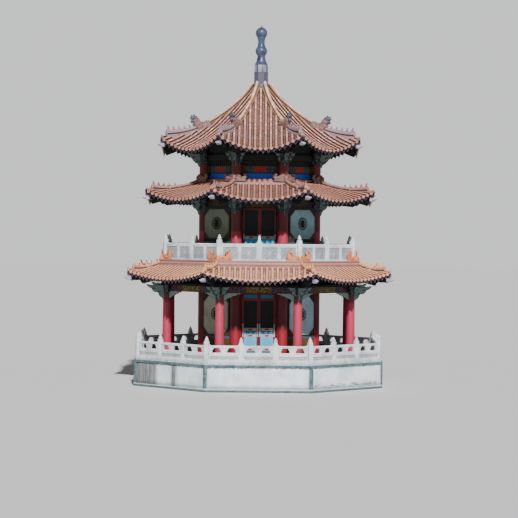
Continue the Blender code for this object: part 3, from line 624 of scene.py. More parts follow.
@dataclass(frozen=True)
class GlazedTile(Finish):
    """Worn glazed tiles, with a pale wash where the glaze has gone."""

    name: str
    crest: Colour
    worn: Colour
    blush: Colour
    trough: Colour
    wash: Colour
    # Painted shade in the creases beside the covers, on the covers' low lip and at the pans' upper ends.
    gap: Colour
    wash_share: float
    joint: float
    # The flank span takes the trough colour and the foot span the dark colour: both are painted shade.
    flank: Span
    foot: Span
    lip: float
    seam: float = 0.0
    head: float = 0.0

    def recipe(self) -> bpy.types.Material:
        """Crest colours by tile and by row, washed pale in streaks, with painted shade on the flanks,
        at the foot, on the lip and at the head.
        """
        r = Recipe(self.name, 0.5, 0.16)
        across, along = r.flow()
        u, apothem, _, side = r.octagon()
        tone = r.tone()
        cloud = r.noise(2.2)
        grit = r.noise(26.0)
        row = r.joined(u, apothem * 0.16, side * 7.3)
        blush = r.ramp(r.noise(3.6, row), 0.45, 0.58) * 0.8
        shift = (r.noise(12.0) - 0.5) * 0.2
        far = abs(across) + shift
        # Painted shade down the flanks.
        side_share = r.ramp(far, *self.flank)
        part = r.math("FRACT", along)
        joint = r.ramp(part, 0.10, 0.0) * self.joint
        mottle = tone * 0.6 + cloud * 0.6
        crest = r.mix(r.ramp(mottle, 0.25, 0.95), self.crest, self.worn)
        patchy = r.ramp(r.noise(7.0) + tone * 0.2, 0.56, 0.74)
        # Painted shadow along the low end of a row, just over its end tile.
        lip = r.ramp(along, 0.16, 0.06) * self.lip
        dash = r.within(part, 0.18, 0.86, 0.12) * r.ramp(far, 0.40, 0.22)
        wash = patchy * dash * self.wash_share
        # The flank, foot and lip coats below are painted shade.
        colour = r.layers(
            crest, (blush, self.blush), (side_share, self.trough), (wash, self.wash),
            (joint, self.wash), (r.ramp(far, *self.foot), self.gap), (lip, self.gap),
            (r.ramp(grit, 0.62, 0.75) * 0.35, self.trough),
        )
        # Painted shade on the pans' upper ends, under the wall ridge.
        if self.head:
            colour = r.mix(r.ramp(apothem, self.head + 0.09, self.head + 0.02), colour, self.gap)
        if self.seam:
            line = r.within(apothem, self.seam, self.seam + 0.045, 0.008)
            colour = r.mix(line * 0.55, colour, paint(132, 132, 150))
        rough = r.ramp(grit, -0.6, 1.2)
        return r.finish(colour, rough, grit, 0.006)


@dataclass(frozen=True)
class Glaze(Finish):
    """A glazed or painted surface of two mottled colours."""

    name: str
    light: Colour
    dark: Colour
    scale: float = 6.0
    roughness: float = 0.5
    grain: float = 0.004

    def recipe(self) -> bpy.types.Material:
        """Two colours mixed by coarse and fine noise, with fine relief."""
        r = Recipe(self.name, self.roughness)
        coarse = r.noise(self.scale)
        fine = r.noise(self.scale * 9.0)
        blend = coarse * 0.7 + fine * 0.3
        rough = fine * 0.25 + (self.roughness - 0.1)
        colour = r.mix(r.ramp(blend, 0.40, 0.66), self.light, self.dark)
        return r.finish(colour, rough, fine, self.grain)


@dataclass(frozen=True)
class TippedGlaze(Finish):
    """Glaze that pales towards the tip of the tile; the flow's second number is 1 there.

    The dark body is painted shade under the eave, and the pale tip is painted sunlight.
    """

    name: str
    body: Colour
    tip: Colour
    low: float
    high: float

    def recipe(self) -> bpy.types.Material:
        """Body colour that turns into the tip's along the flow, with mottling: painted shade that
        turns into painted sunlight.
        """
        r = Recipe(self.name, 0.8, 0.06)
        _, down = r.flow()
        fine = r.noise(30.0)
        moved = down + (fine - 0.5) * 0.2
        colour = r.layers(
            r.mix(r.tone() * 0.1, self.body, self.tip),
            (r.ramp(moved, self.low, self.high), self.tip),
            (r.ramp(fine, 0.6, 0.8) * 0.3, self.body),
        )
        return r.finish(colour, None, fine, 0.004)


class Timber(Enum):
    """The timber finishes under the eaves."""

    SOFFIT = "soffit_timber"
    RAFTER = "rafter_timber"


@dataclass(frozen=True)
class DarkTimber(Finish):
    """Timber painted near-black as painted shade under the eaves, with boards along it and dust
    on its edges.
    """

    kind: Timber
    colour: Colour
    dust: Colour

    def recipe(self) -> bpy.types.Material:
        """Streaked grain over dark paint, with a little dust."""
        r = Recipe(self.kind.value, 0.8, 0.2)
        grain = r.noise(5.0, r.stretched(1.0, 1.0, 6.0))
        fine = r.noise(40.0)
        share = r.ramp(grain, 0.5, 0.8) * 0.5
        return r.finish(r.mix(share, self.colour, self.dust), None, fine, 0.004)


# Roofs


@dataclass(frozen=True)
class RoofColours:
    """The colours of one tiled roof."""

    crest: Colour
    worn: Colour
    blush: Colour
    trough: Colour
    wash: Colour
    wash_share: float
    pan: Colour
    pan_blush: Colour
    # Painted shade in the creases, on the covers' lip and at the pans' upper ends.
    gap: Colour
    cap: Colour
    cap_dark: Colour
    # The drip tile's dark body is painted shade under the eave, and its pale tip painted sunlight.
    drip: Colour
    tip: Colour
    seam: float = 0.0
    # Apothem near which the pans' upper ends take painted shade; 0 for none.
    head: float = 0.0


# How far past the hip, as a share of half the side, a roof's surface still goes on.
PAST_HIP = 1.06

# Both are near-black: painted shade under the eaves.
SOFFIT = DarkTimber(Timber.SOFFIT, paint(24, 22, 22), paint(52, 48, 46))
RAFTER = DarkTimber(Timber.RAFTER, paint(30, 34, 33), paint(84, 86, 84))


@dataclass
class TiledRoof:
    """One tiled roof: its rows of tiles, its eave, the timber under it and its hips."""

    name: str
    inner: float
    eave: float
    level: float
    pitch: float
    sweep: float
    lift: float
    rows: int
    spacing: float
    beam_start: float
    colours: RoofColours
    reach: float = 0.10
    lift_power: float = 2.4
    tile_length: float = 0.29
    cover_radius: float = 0.083
    pan_step: float = 0.16
    thickness: float = 0.13

    def surface(self, u: Array | float, apothem: Array | float) -> Array:
        """Points on the roof's swept surface.

        The level is the eave's, plus the fall to the eave times the pitch, plus its square
        times the sweep, plus a lift that grows with the share of the way out and the square
        of the share of the way to the hip. The corners also reach out.

        Args:
            u: Place along the side.
            apothem: Place outwards, before the corner's reach.

        Returns:
            Points on side 0.
        """
        u, apothem = np.broadcast_arrays(np.asarray(u, float), np.asarray(apothem, float))
        out = np.maximum((apothem - self.inner) / (self.eave - self.inner), 0.0)
        reach = 0.0
        for _ in range(5):
            share = np.clip(u / ((apothem + reach) * TAN), -PAST_HIP, PAST_HIP)
            reach = self.reach * (out * share) ** 2
        fall = self.eave - apothem
        level = self.level + self.pitch * fall + self.sweep * fall**2
        level = level + self.lift * out**self.lift_power * share**2
        return on_side(u, apothem + reach, level)

    def frame_at(self, u: Array, apothem: Array) -> tuple[Array, Array, Array, Array]:
        """The surface's directions, from the differences between neighbouring points.

        Args:
            u: Place along the side.
            apothem: Place outwards.

        Returns:
            The surface's point, and its directions along the side, down the slope and upwards.
        """
        step = 0.01
        along = self.surface(u + step, apothem) - self.surface(u - step, apothem)
        down = self.surface(u, apothem + step) - self.surface(u, apothem - step)
        along /= np.linalg.norm(along, axis=-1, keepdims=True)
        normal = np.cross(down, along)
        normal /= np.linalg.norm(normal, axis=-1, keepdims=True)
        normal *= np.sign(normal[..., 2:])
        down = np.cross(along, normal)
        down *= np.sign(-down[..., 1:2])
        return self.surface(u, apothem), along, down, normal

    def start(self, u: float) -> float:
        """The apothem at which a row at u leaves the hip or the wall."""
        apothem = abs(u) / TAN
        for _ in range(6):
            out = max((apothem - self.inner) / (self.eave - self.inner), 0.0)
            apothem = abs(u) / TAN - self.reach * out**2
        return max(apothem, self.inner)

    def row_places(self) -> Array:
        """The places of the cover rows along the side."""
        return (np.arange(self.rows) - (self.rows - 1) / 2) * self.spacing

    def stations(self, start: float, end: float, length: float) -> tuple[Array, Array, Array]:
        """Where the tiles of a row begin and end.

        Args:
            start: Apothem of the row's upper end.
            end: Apothem of its lower end.
            length: Length of a tile along the apothem.

        Returns:
            The apothem of each ring, which tile it is on, and 1 at a tile's lower end.
        """
        count = max(int(math.ceil((end - start) / length)), 1)
        lower = end - np.arange(count) * length
        upper = np.maximum(lower - length, start)
        apothems = np.stack((lower, upper + 1e-4), -1).ravel()
        return apothems, np.repeat(np.arange(count), 2), np.tile((1.0, 0.0), count)

    def strip(
        self, u: float, start: float, length: float, section: Array, taper: float
    ) -> tuple[Array, Array, Array]:
        """A row of overlapping tiles down the slope.

        Each tile has a ring of the section at its lower end and a smaller one at its upper
        end, so that every tile steps down on to the next.

        Args:
            u: Place of the row along the side.
            start: Apothem of its upper end.
            length: Length of a tile.
            section: Sideways and upward numbers of its section.
            taper: How much smaller the upper end of a tile is.

        Returns:
            The rings, their flow coordinates and their tiles' numbers.
        """
        end = self.eave + 0.02
        apothems, tiles, low_end = self.stations(start, end, length)
        size = 1.0 - taper * (1.0 - low_end)
        sideways = section[None, :, 0] * (size[:, None] if taper < 0.5 else 1.0)
        _, _, _, normal = self.frame_at(np.full_like(apothems, u), apothems)
        base = self.surface(u + sideways, apothems[:, None])
        rise = section[None, :, 1] * size[:, None]
        rings = base + rise[..., None] * normal[:, None]
        across = np.broadcast_to(section[None, :, 2], rise.shape)
        along = np.broadcast_to((tiles + 0.999 * (1.0 - low_end))[:, None], rise.shape)
        return rings, np.stack((across, along), -1), tiles

    def cover_section(self) -> Array:
        """The half-round section of a cover tile, with its place across in its third number."""
        angle = np.linspace(0.0, math.pi, 8)
        x, y = self.cover_radius * np.cos(angle), 1.12 * self.cover_radius * np.sin(angle)
        arc = np.stack((x, y + 0.004, np.cos(angle)), -1)
        foot = ((-self.cover_radius, -0.03, -1.0), (self.cover_radius, -0.03, 1.0))
        return np.concatenate((arc, np.array(foot)))

    def pan_section(self, half: float) -> Array:
        """The hollow section of a pan tile, with its place across in its third number."""
        share = np.linspace(1.0, -1.0, 5)
        hollow = np.stack((half * share, 0.012 + 0.030 * share**2, share), -1)
        foot = ((-half, -0.03, 1.0), (half, -0.03, 1.0))
        return np.concatenate((hollow, np.array(foot)))

    def build_rows(self) -> tuple[Draft, Draft]:
        """The cover rows and the pan rows of one side."""
        covers, pans = Draft(), Draft()
        draw = np.random.default_rng(len(self.name) + self.rows)
        places = self.row_places()
        section = self.cover_section()
        for u in places:
            start = self.start(abs(u) - 0.02) + 0.005
            if start > self.eave - 0.10:
                continue
            rings, flow, tiles = self.strip(u, start, self.tile_length, section, 0.07)
            tone = draw.random(tiles.max() + 1)[tiles]
            covers.tube(rings, 0, flow, np.repeat(tone, rings.shape[1]))
            self.end_cap(covers, u, draw.random())
        middles = np.concatenate((places - self.spacing / 2, places[-1:] + self.spacing / 2))
        for u in middles:
            start = self.start(abs(u) - 0.05) + 0.002
            if start > self.eave - 0.05:
                continue
            half = self.spacing / 2 - 0.03
            rings, flow, tiles = self.strip(u, start, self.pan_step, self.pan_section(half), 0.6)
            tone = draw.random(tiles.max() + 1)[tiles]
            pans.tube(rings, 0, flow, np.repeat(tone, rings.shape[1]))
            self.drip_tile(pans, u, half, draw.random())
        return covers, pans

    def end_cap(self, draft: Draft, u: float, tone: float) -> None:
        """The round end tile of a row: a rimmed disc with a low boss, facing down the slope.

        Args:
            draft: Where it goes.
            u: The row's place along the side.
            tone: Its tone.
        """
        point, along, down, normal = self.frame_at(np.array(u), np.array(self.eave + 0.02))
        radius = 0.98 * self.cover_radius
        profile = (
            (1.0, -0.02), (1.0, 0.026), (0.80, 0.034), (0.70, 0.018), (0.30, 0.024), (0.02, 0.036),
        )
        size, depth = (np.array(profile)[:, k, None, None] for k in (0, 1))
        angle = (2 * math.pi * np.arange(10) / 10)[None, :, None]
        rim = radius * size * (np.cos(angle) * along + np.sin(angle) * normal)
        rings = point + 0.008 * normal + rim + depth * down
        flow = np.broadcast_to(np.concatenate((size, size), -1), (6, 10, 2))
        draft.tube(rings, 1, flow, tone)

    def drip_tile(self, draft: Draft, u: float, half: float, tone: float) -> None:
        """The drip tile between two rows: a thin curved leaf that hangs to a blunt point.

        Its depth is least at both ends and grows to the middle nearly as the share does, with
        a small lobe either side.

        Args:
            draft: Where it goes.
            u: Its middle along the side.
            half: Half its width.
            tone: Its tone.
        """
        share = np.linspace(-1.0, 1.0, 9)
        _, _, down, _ = self.frame_at(np.array(u), np.array(self.eave))
        top = self.surface(u + half * share, self.eave + 0.015)
        top[:, 2] += 0.012 + 0.026 * share**2
        depth = 0.07 + 0.135 * (1.0 - np.abs(share)) ** 0.8 + 0.012 * np.cos(3 * math.pi * share)
        hang = np.array((0.0, 0.0, -1.0)) + 0.28 * down
        parts = np.array((0.0, 0.5, 1.0, 1.0, 0.5, 0.0))
        skin = np.array((0.0, 0.0, 0.0, -0.014, -0.014, -0.014))
        rings = top[:, None] + (depth[:, None] * parts)[..., None] * hang
        rings = rings + skin[None, :, None] * down
        flow = np.stack(np.broadcast_arrays(share[:, None], parts[None]), -1)
        draft.tube(rings, 1, flow, tone)

    def build_deck(self) -> Draft:
        """The boarded deck under the tiles as one closed ring with an even thickness."""
        share = (np.arange(14) / 14 * 2 - 1)[:, None]
        out = np.concatenate((np.linspace(0, 1, 9), np.linspace(1, 0, 9)))[None]
        under = np.repeat((0.0, 1.0), 9)[None]
        apothem = self.inner + out * (self.eave - 0.03 - self.inner)
        reach = self.reach * (out * share) ** 2
        points = self.surface(share * (apothem + reach) * TAN, apothem)
        points[..., 2] -= 0.022 + under * (self.thickness - 0.022)
        ring = np.concatenate([points @ turn(side).T for side in range(SIDES)])
        draft = Draft()
        draft.tube(ring, 0, loop=True)
        return draft

    def build_rafters(self) -> Draft:
        """The flying rafters whose square ends show under the eave."""
        draft = Draft()
        count = int(2 * (self.eave - 0.35) * TAN / 0.21)
        for u in (np.arange(count) - (count - 1) / 2) * 0.21:
            start = max(self.start(u) + 0.02, self.eave - 0.62)
            apothems = np.linspace(start, self.eave - 0.045, 3)
            point, along, _, normal = self.frame_at(np.full(3, u), apothems)
            point[:, 2] -= self.thickness + 0.028
            section = np.array(((-0.032, -0.032), (0.032, -0.032), (0.032, 0.032), (-0.032, 0.032)))
            rings = point[:, None] + section[None, :, :1] * along[:, None]
            draft.tube(rings + section[None, :, 1:] * normal[:, None], 1)
        return draft

    def hip_line(self, start: float, end: float, count: int) -> Array:
        """Points along the hip, read off the surface's own formula.

        Args:
            start: Radius of the first point.
            end: Radius of the last one.
            count: How many there are.

        Returns:
            Their r and z.
        """
        out = np.linspace(0.0, 1.0, 60)
        apothem = self.inner + out * (self.eave - self.inner)
        radius = (apothem + self.reach * out**2) / COS
        fall = self.eave - apothem
        level = self.level + self.pitch * fall + self.sweep * fall**2
        level = level + self.lift * out**self.lift_power
        wanted = np.linspace(start, end, count)
        return np.stack((wanted, np.interp(wanted, radius, level)), -1)

    @property
    def tip(self) -> tuple[float, float]:
        """The hip's low end as its radius and its level."""
        return (self.eave + self.reach) / COS, self.level + self.lift

    def build_corner_beams(self) -> Draft:
        """The beam under each hip, its pale carved head and the shorter beam under it.

        The beam's section follows the hip at an even depth. The head narrows beyond the tip
        and turns up; the lower beam stops short of the tip with a curved nose.
        """
        tip, level = self.tip
        draft = Draft()
        beams = ((0.075, -0.44, -0.06, 0.16, 14, 1.0), (0.07, -0.62, -0.45, 0.62, 10, 0.96))
        for half, low, high, short, count, nose in beams:
            section = np.array(((-half, low), (half, low), (half, high), (-half, high)))
            line = self.hip_line(self.beam_start, tip - short, count)
            rings = on_corner(line[:, :1], section[None, :, 0], line[:, 1:] + section[None, :, 1])
            rings[-1, :2, :2] *= nose
            draft.tube(rings, 1)
        head = np.array((
            (-0.18, -0.43), (-0.04, -0.44), (0.06, -0.40), (0.158, -0.35), (0.155, -0.30),
            (0.06, -0.30), (-0.02, -0.25), (-0.18, -0.25),
        ))
        draft.tube(plate_rings(head + (tip, level), 0.19, 0.03, on_corner), 2)
        return draft

    def build(self) -> None:
        """Makes the roof's pieces in place of its node."""
        c = self.colours
        # The flank and foot spans, the lip and the head give the tiles their painted shade.
        cover = GlazedTile(
            f"{self.name}_cover_tile", c.crest, c.worn, c.blush, c.trough, c.wash, c.gap,
            c.wash_share, 0.14, (0.45, 0.66), (0.72, 0.86), 0.5, c.seam,
        )
        cap = Glaze(f"{self.name}_end_tile", c.cap, c.cap_dark, 9.0)
        pan = GlazedTile(
            f"{self.name}_pan_tile", c.pan, c.trough, c.pan_blush, c.trough, c.crest, c.gap,
            0.3, 0.25, (0.50, 0.80), (0.86, 0.98), 0.0, c.seam, c.head,
        )
        drip = TippedGlaze(f"{self.name}_drip_tile", c.drip, c.tip, 0.84, 0.92)
        head = Glaze(f"{self.name}_beam_head_paint", paint(176, 168, 186), paint(96, 88, 108), 7.0)
        covers, pans = self.build_rows()
        make_piece(f"{self.name}_cover_rows", covers.around(varied=True), (cover, cap))
        make_piece(f"{self.name}_pan_rows", pans.around(varied=True), (pan, drip))
        timber = self.build_deck()
        timber.include(self.build_rafters().around())
        timber.include(self.build_corner_beams().around())
        make_piece(
            f"{self.name}_timber", timber, (SOFFIT, RAFTER, head), nodes=[self.name]
        )


LOWER_COLOURS = RoofColours(
    crest=paint(226, 166, 118), worn=paint(208, 150, 120), blush=paint(204, 138, 118),
    trough=paint(142, 94, 78), wash=paint(252, 222, 162), wash_share=0.7, pan=paint(198, 150, 130),
    pan_blush=paint(182, 138, 134), gap=paint(74, 46, 42), cap=paint(222, 166, 138),
    cap_dark=paint(170, 120, 102), drip=paint(44, 32, 33), tip=paint(106, 94, 106), head=4.92,
)
MIDDLE_COLOURS = RoofColours(
    crest=paint(182, 132, 106), worn=paint(158, 110, 96), blush=paint(164, 110, 100),
    trough=paint(106, 68, 62), wash=paint(236, 200, 150), wash_share=0.55, pan=paint(146, 102, 92),
    pan_blush=paint(126, 94, 100), gap=paint(54, 36, 38), cap=paint(190, 142, 126),
    cap_dark=paint(128, 92, 86), drip=paint(32, 25, 27), tip=paint(88, 80, 92), head=3.00,
)
UPPER_COLOURS = RoofColours(
    crest=paint(184, 136, 112), worn=paint(160, 114, 104), blush=paint(178, 118, 108),
    trough=paint(88, 58, 54), wash=paint(252, 232, 190), wash_share=0.85, pan=paint(132, 94, 86),
    pan_blush=paint(108, 84, 92), gap=paint(46, 32, 34), cap=paint(200, 146, 128),
    cap_dark=paint(132, 94, 88), drip=paint(28, 23, 26), tip=paint(88, 80, 92), seam=3.45,
)

LOWER_ROOF = TiledRoof(
    "lower_roof", 4.6003, 6.08, 5.10, 0.40, 0.015, 0.33, 20, 0.245, 5.02, LOWER_COLOURS
)
MIDDLE_ROOF = TiledRoof(
    "middle_roof", 2.5803, 5.26, 8.78, 0.28, 0.017, 0.44, 17, 0.258, 2.95, MIDDLE_COLOURS
)
UPPER_ROOF = TiledRoof(
    "upper_roof", 0.20, 4.60, 11.13, 0.348, 0.086, 0.60, 15, 0.250, 2.95, UPPER_COLOURS
)


# Ridges


@dataclass(frozen=True)
class RidgeGlaze(Finish):
    """The moulded ridges: a worn cap, a dark sunk line and mouldings, jointed along the ridge, with
    a painted shadow along the foot.
    """

    name: str
    cap: Colour
    cap_worn: Colour
    line: Colour
    moulding: Colour
    joint: Colour
    low_cap: Colour = paint(0, 0, 0)
    split: float = 0.0

    def recipe(self) -> bpy.types.Material:
        """Colours by height on the ridge, which is the flow's first number.

        Outside the split apothem, where there is one, all but the sunk line takes the low
        cap's colour.
        """
        r = Recipe(self.name, 0.5)
        height, along = r.flow()
        cloud = r.noise(3.0)
        fine = r.noise(24.0)
        part = r.math("FRACT", along * 3.4)
        joint = r.ramp(part, 0.09, 0.0) * 0.7
        worn = r.ramp(cloud + fine * 0.4, 0.6, 0.9)
        cap = r.mix(worn, self.cap, self.cap_worn)
        sunk = r.within(height, 0.34, 0.56, 0.03)
        colour = r.layers(
            self.moulding, (r.ramp(fine, 0.55, 0.75) * 0.7, self.line),
            # A painted shadow along the foot, and the dark sunk line.
            (r.ramp(height, 0.16, 0.08), self.line), (sunk, self.line),
            (r.ramp(height, 0.58, 0.62), self.cap_worn), (r.ramp(height, 0.86, 0.92), cap),
            (joint * r.ramp(height, 0.6, 0.7), self.joint),
        )
        if self.split:
            outside = r.ramp(r.octagon()[1], self.split, self.split + 0.1)
            colour = r.mix(outside * (1.0 - sunk), colour, self.low_cap)
        return r.finish(colour, None, fine, 0.005)


@dataclass(frozen=True)
class BandGlaze(Finish):
    """The ridge at the foot of a wall, with raised lines and a row of small blocks."""

    name: str
    base: Colour
    worn: Colour
    line: Colour
    cap: Colour
    low: float
    high: float
    stripe: Colour

    def recipe(self) -> bpy.types.Material:
        """Lines by height between low and high, and blocks by the place along the side."""
        r = Recipe(self.name, 0.55)
        u, _, z, _ = r.octagon()
        share = (z - self.low) / (self.high - self.low)
        fine = r.noise(20.0)
        cloud = r.noise(3.0)
        part = r.math("FRACT", u * 4.2)
        blocks = r.within(part, 0.2, 0.8, 0.06) * r.within(share, 0.58, 0.74, 0.04)
        colour = r.layers(
            r.mix(r.ramp(cloud, 0.4, 0.65), self.base, self.worn),
            (r.within(share, 0.56, 0.80, 0.03) * 0.9, self.stripe), (blocks * 0.35, self.worn),
            (r.within(share, 0.47, 0.55, 0.02) * 0.8, self.line),
            (r.ramp(share, 0.82, 0.86), self.cap), (r.ramp(fine, 0.58, 0.75) * 0.5, self.line),
        )
        bump = fine * 0.4 + blocks
        return r.finish(colour, None, bump, 0.01)


HIP_HALF_SECTION = np.array(
    (
        (0.014, 0.203), (0.044, 0.190), (0.062, 0.162), (0.066, 0.125), (0.062, 0.110),
        (0.045, 0.100), (0.045, 0.068), (0.098, 0.052), (0.094, -0.04),
    )
)
HIP_SECTION = np.concatenate((HIP_HALF_SECTION[::-1] * (-1.0, 1.0), HIP_HALF_SECTION))
HIP_HEIGHT = 0.20
HIP_LATERAL = on_corner(0.0, 1.0, 0.0)
# How far before a hip's tip its low ridge ends; a lower stretch covers the rest.
LOW_RUN_END = 0.26
# The flow of a ridge's cap, away from its joints.
CAP_FLOW = np.array((0.95, 0.1))
FIGURE_PROFILE = (
    (0.004, 0.0), (0.056, 0.002), (0.064, 0.040), (0.048, 0.080), (0.030, 0.105), (0.044, 0.130),
    (0.036, 0.155), (0.014, 0.178), (0.001, 0.215),
)


def seated_figure(place: Array, size: float, outward: Array) -> Array:
    """A small seated ridge beast, reduced to body, neck, head and crest.

    It is a turned profile whose rings lean outwards with the square of their height.

    Args:
        place: Where it sits.
        size: Its size as a share of 0.2 m.
        outward: The level direction that it looks in.

    Returns:
        Rings of points.
    """
    rings = size * lathe(FIGURE_PROFILE, 7)
    lean = (rings[..., 2:] / 0.2) ** 2 * 0.05 * size
    return rings + lean * outward + place


def smooth_line(points: Sequence[Sequence[float]], rounds: int = 2) -> Array:
    """A line whose corners are cut off, at a quarter and three quarters of each stretch.

    Args:
        points: Points of the line.
        rounds: How often the corners are cut.

    Returns:
        Points of the smoother line, with the same two ends.
    """
    line = np.asarray(points, float)
    for _ in range(rounds):
        first, last = line[:-1], line[1:]
        cut = np.stack((0.75 * first + 0.25 * last, 0.25 * first + 0.75 * last), 1)
        line = np.concatenate((line[:1], cut.reshape(-1, line.shape[1]), line[-1:]))
    return line


def curled_body(line: Array, width: float, depth: float, end: float, place: Placer) -> Array:
    """A tapering body carried along a curled line, with ribs across it.

    The section is an ellipse, width across the line and depth across the plate. Its size
    falls evenly to the end share, and grows and shrinks a little with each rib.

    Args:
        line: Points along and up.
        width: Half width at the start.
        depth: Half depth.
        end: Share of the width left at the end.
        place: Turns along, depth and up into points.

    Returns:
        Rings of points.
    """
    along = np.gradient(line, axis=0)
    along /= np.linalg.norm(along, axis=1, keepdims=True)
    across = np.stack((along[:, 1], -along[:, 0]), -1)
    share = np.linspace(0.0, 1.0, len(line))
    size = (1.0 - (1.0 - end) * share) * (1.0 + 0.09 * np.cos(share * math.pi * len(line) * 0.5))
    size[-1] *= 0.3
    angle = 2 * math.pi * np.arange(8) / 8
    reach = width * size[:, None] * np.cos(angle)
    deep = depth * (0.6 + 0.4 * size[:, None]) * np.sin(angle)
    flat = line[:, None] + reach[..., None] * across[:, None]
    return place(flat[..., 0], deep, flat[..., 1])


@dataclass
class HipRidges:
    """The ridges over a roof's hips, with their end tiles and the row of small figures."""

    roof: TiledRoof
    start: float
    step_at: float
    step_height: float
    figures: int
    figure_glaze: Glaze
    glaze: RidgeGlaze
    low_scale: float = 1.0
    growth: float = 0.11
    swell: float = 0.0
    figure_step: float = 0.27
    apex_rise: float = 0.0

    def run(self, draft: Draft, start: float, end: float, scale: float, growth: float) -> None:
        """A stretch of ridge: the section swept along the hip, its top raised by two terms.

        One grows evenly to the low end; the other is a square that falls from the apex.

        Args:
            draft: Where it goes.
            start: Radius of its upper end.
            end: Radius of its lower end.
            scale: Size of its section.
            growth: How much higher its lower end is.
        """
        count = max(int((end - start) / 0.11), 4)
        line = self.roof.hip_line(start, end, count)
        path = on_corner(line[:, 0], 0.0, line[:, 1])
        swelling = self.swell * np.exp(-(((line[:, 0] - self.start) / 0.42) ** 2))
        rings = swept(path, HIP_LATERAL, HIP_SECTION, scale + swelling)
        near = np.clip((self.start + 0.75 - line[:, 0]) / 0.75, 0.0, 1.0) ** 2
        raised = np.clip(HIP_SECTION[:, 1] / HIP_HEIGHT, 0.0, 1.0)
        grown = growth * np.linspace(0.0, 1.0, count)
        rings[..., 2] += (self.apex_rise * near + grown)[:, None] * raised
        steps = np.linalg.norm(np.diff(path, axis=0), axis=1)
        travelled = np.concatenate(((0.0,), np.cumsum(steps)))
        height = np.broadcast_to(HIP_SECTION[None, :, 1] / HIP_HEIGHT, rings.shape[:2])
        along = np.broadcast_to(travelled[:, None], rings.shape[:2])
        draft.tube(rings, 0, np.stack((height, along), -1))

    def end_disc(self, draft: Draft, radius: float, rise: float, size: float) -> None:
        """The round tile that closes the low end of a ridge, with its rim and boss.

        Args:
            draft: Where it goes.
            radius: How far out it stands.
            rise: Its middle's height over the hip.
            size: Its radius.
        """
        line = self.roof.hip_line(radius, radius + 0.01, 2)[0]
        profile = ((1.0, -0.03), (1.0, 0.02), (0.78, 0.03), (0.66, 0.012), (0.02, 0.03))
        share, depth = (np.array(profile)[:, k, None] for k in (0, 1))
        angle = 2 * math.pi * np.arange(12) / 12
        across = size * share * np.cos(angle)
        level = line[1] + rise + size * share * np.sin(angle)
        rings = on_corner(line[0] + depth, across, level)
        draft.tube(rings, 0, np.broadcast_to(CAP_FLOW, (*rings.shape[:2], 2)))

    def place_figures(self, draft: Draft) -> None:
        """The small figures in a row along the low part of the ridge."""
        tip = self.roof.tip[0]
        first = tip - 0.36
        last = first - self.figure_step * (self.figures - 1)
        line = self.roof.hip_line(first, last, self.figures)
        grown = (line[:, 0] - self.step_at) / (tip - LOW_RUN_END - self.step_at)
        line[:, 1] += 0.19 * self.low_scale + self.growth * np.clip(grown, 0.0, 1.0)
        for number, (radius, level) in enumerate(line):
            place = on_corner(radius, 0.0, level)
            rings = seated_figure(place, 1.0 - 0.04 * number, on_corner(1.0, 0.0, 0.0))
            draft.tube(rings, 1)

    def build_corner(self) -> Draft:
        """The ridge, its step, its end tiles and its figures at one corner."""
        draft = Draft()
        tip = self.roof.tip[0]
        self.run(draft, self.start, self.step_at, self.step_height, 0.0)
        self.end_disc(draft, self.step_at, 0.12 * self.step_height, 0.10 * self.step_height)
        low_end = tip - LOW_RUN_END
        self.run(draft, self.step_at - 0.05, low_end, self.low_scale, self.growth)
        self.end_disc(draft, low_end + 0.01, 0.10 + 0.6 * self.growth, 0.105)
        self.run(draft, tip - 0.32, tip - 0.02, 0.55, 0.0)
        self.end_disc(draft, tip - 0.01, 0.06, 0.085)
        self.place_figures(draft)
        return draft


@dataclass
class WallRidge:
    """The moulded ridge where a skirt roof meets the wall, with the curled ends at its corners."""

    profile: Outline
    glaze: BandGlaze
    curl_glaze: Glaze
    fin_glaze: Glaze
    apothem: float
    base: float
    height: float
    corner_gap: float
    reach: float = 0.56
    girth: float = 0.085
    body_line: Outline = (
        (0.0, 0.34), (0.30, 0.36), (0.62, 0.20), (0.86, 0.22), (0.90, 0.50), (0.84, 0.80),
        (0.70, 0.92), (0.58, 0.84), (0.58, 0.66), (0.68, 0.58),
    )
    fin_line: Outline = (
        (0.10, 0.10), (0.06, 0.34), (0.16, 0.46), (0.30, 0.42), (0.28, 0.30),
    )
    plate_line: Outline = (
        (0.0, -0.10), (0.0, 0.44), (0.28, 0.46), (0.52, 0.40), (0.60, 0.70), (0.88, 0.74),
        (0.96, 0.30), (1.10, -0.10),
    )

    def line(self, shares: Outline) -> Array:
        """A line in shares of the reach from the corner and of the height, in metres."""
        corner = (self.apothem * TAN - self.corner_gap, self.base)
        return np.array(shares) * (-self.reach, self.height) + corner

    def build_curl(self) -> Draft:
        """One curled ridge end beside a corner: its body, its small fin and its foot."""
        draft = Draft()
        place = on_side_plate(self.apothem)
        body, fin = smooth_line(self.line(self.body_line)), smooth_line(self.line(self.fin_line))
        draft.tube(curled_body(body, self.girth, 0.07, 0.55, place), 1)
        draft.tube(curled_body(fin, 0.5 * self.girth, 0.05, 0.6, place), 2)
        draft.tube(plate_rings(self.line(self.plate_line), self.girth, 0.02, place), 1)
        return draft

    def build_knot(self) -> Draft:
        """The squat block between the two curled ends of a corner, rounded on top."""
        draft = Draft()
        low, high = self.base - 0.1, self.base + 0.42 * self.height
        profile = (
            (0.085, low), (0.105, low + 0.12), (0.105, high - 0.07), (0.08, high - 0.02), (0.01, high),
        )
        place = on_corner(self.apothem / COS + 0.02, 0.0, 0.0)
        draft.tube(lathe(profile, 16, 0.2) + place, 1)
        return draft

    def build(self) -> Draft:
        """The whole ring, its sixteen curled ends and the knots between them."""
        draft = Draft()
        draft.tube(octagon_rings(self.profile), 0, loop=True)
        draft.include(self.build_curl().mirrored().around())
        draft.include(self.build_knot().around())
        return draft


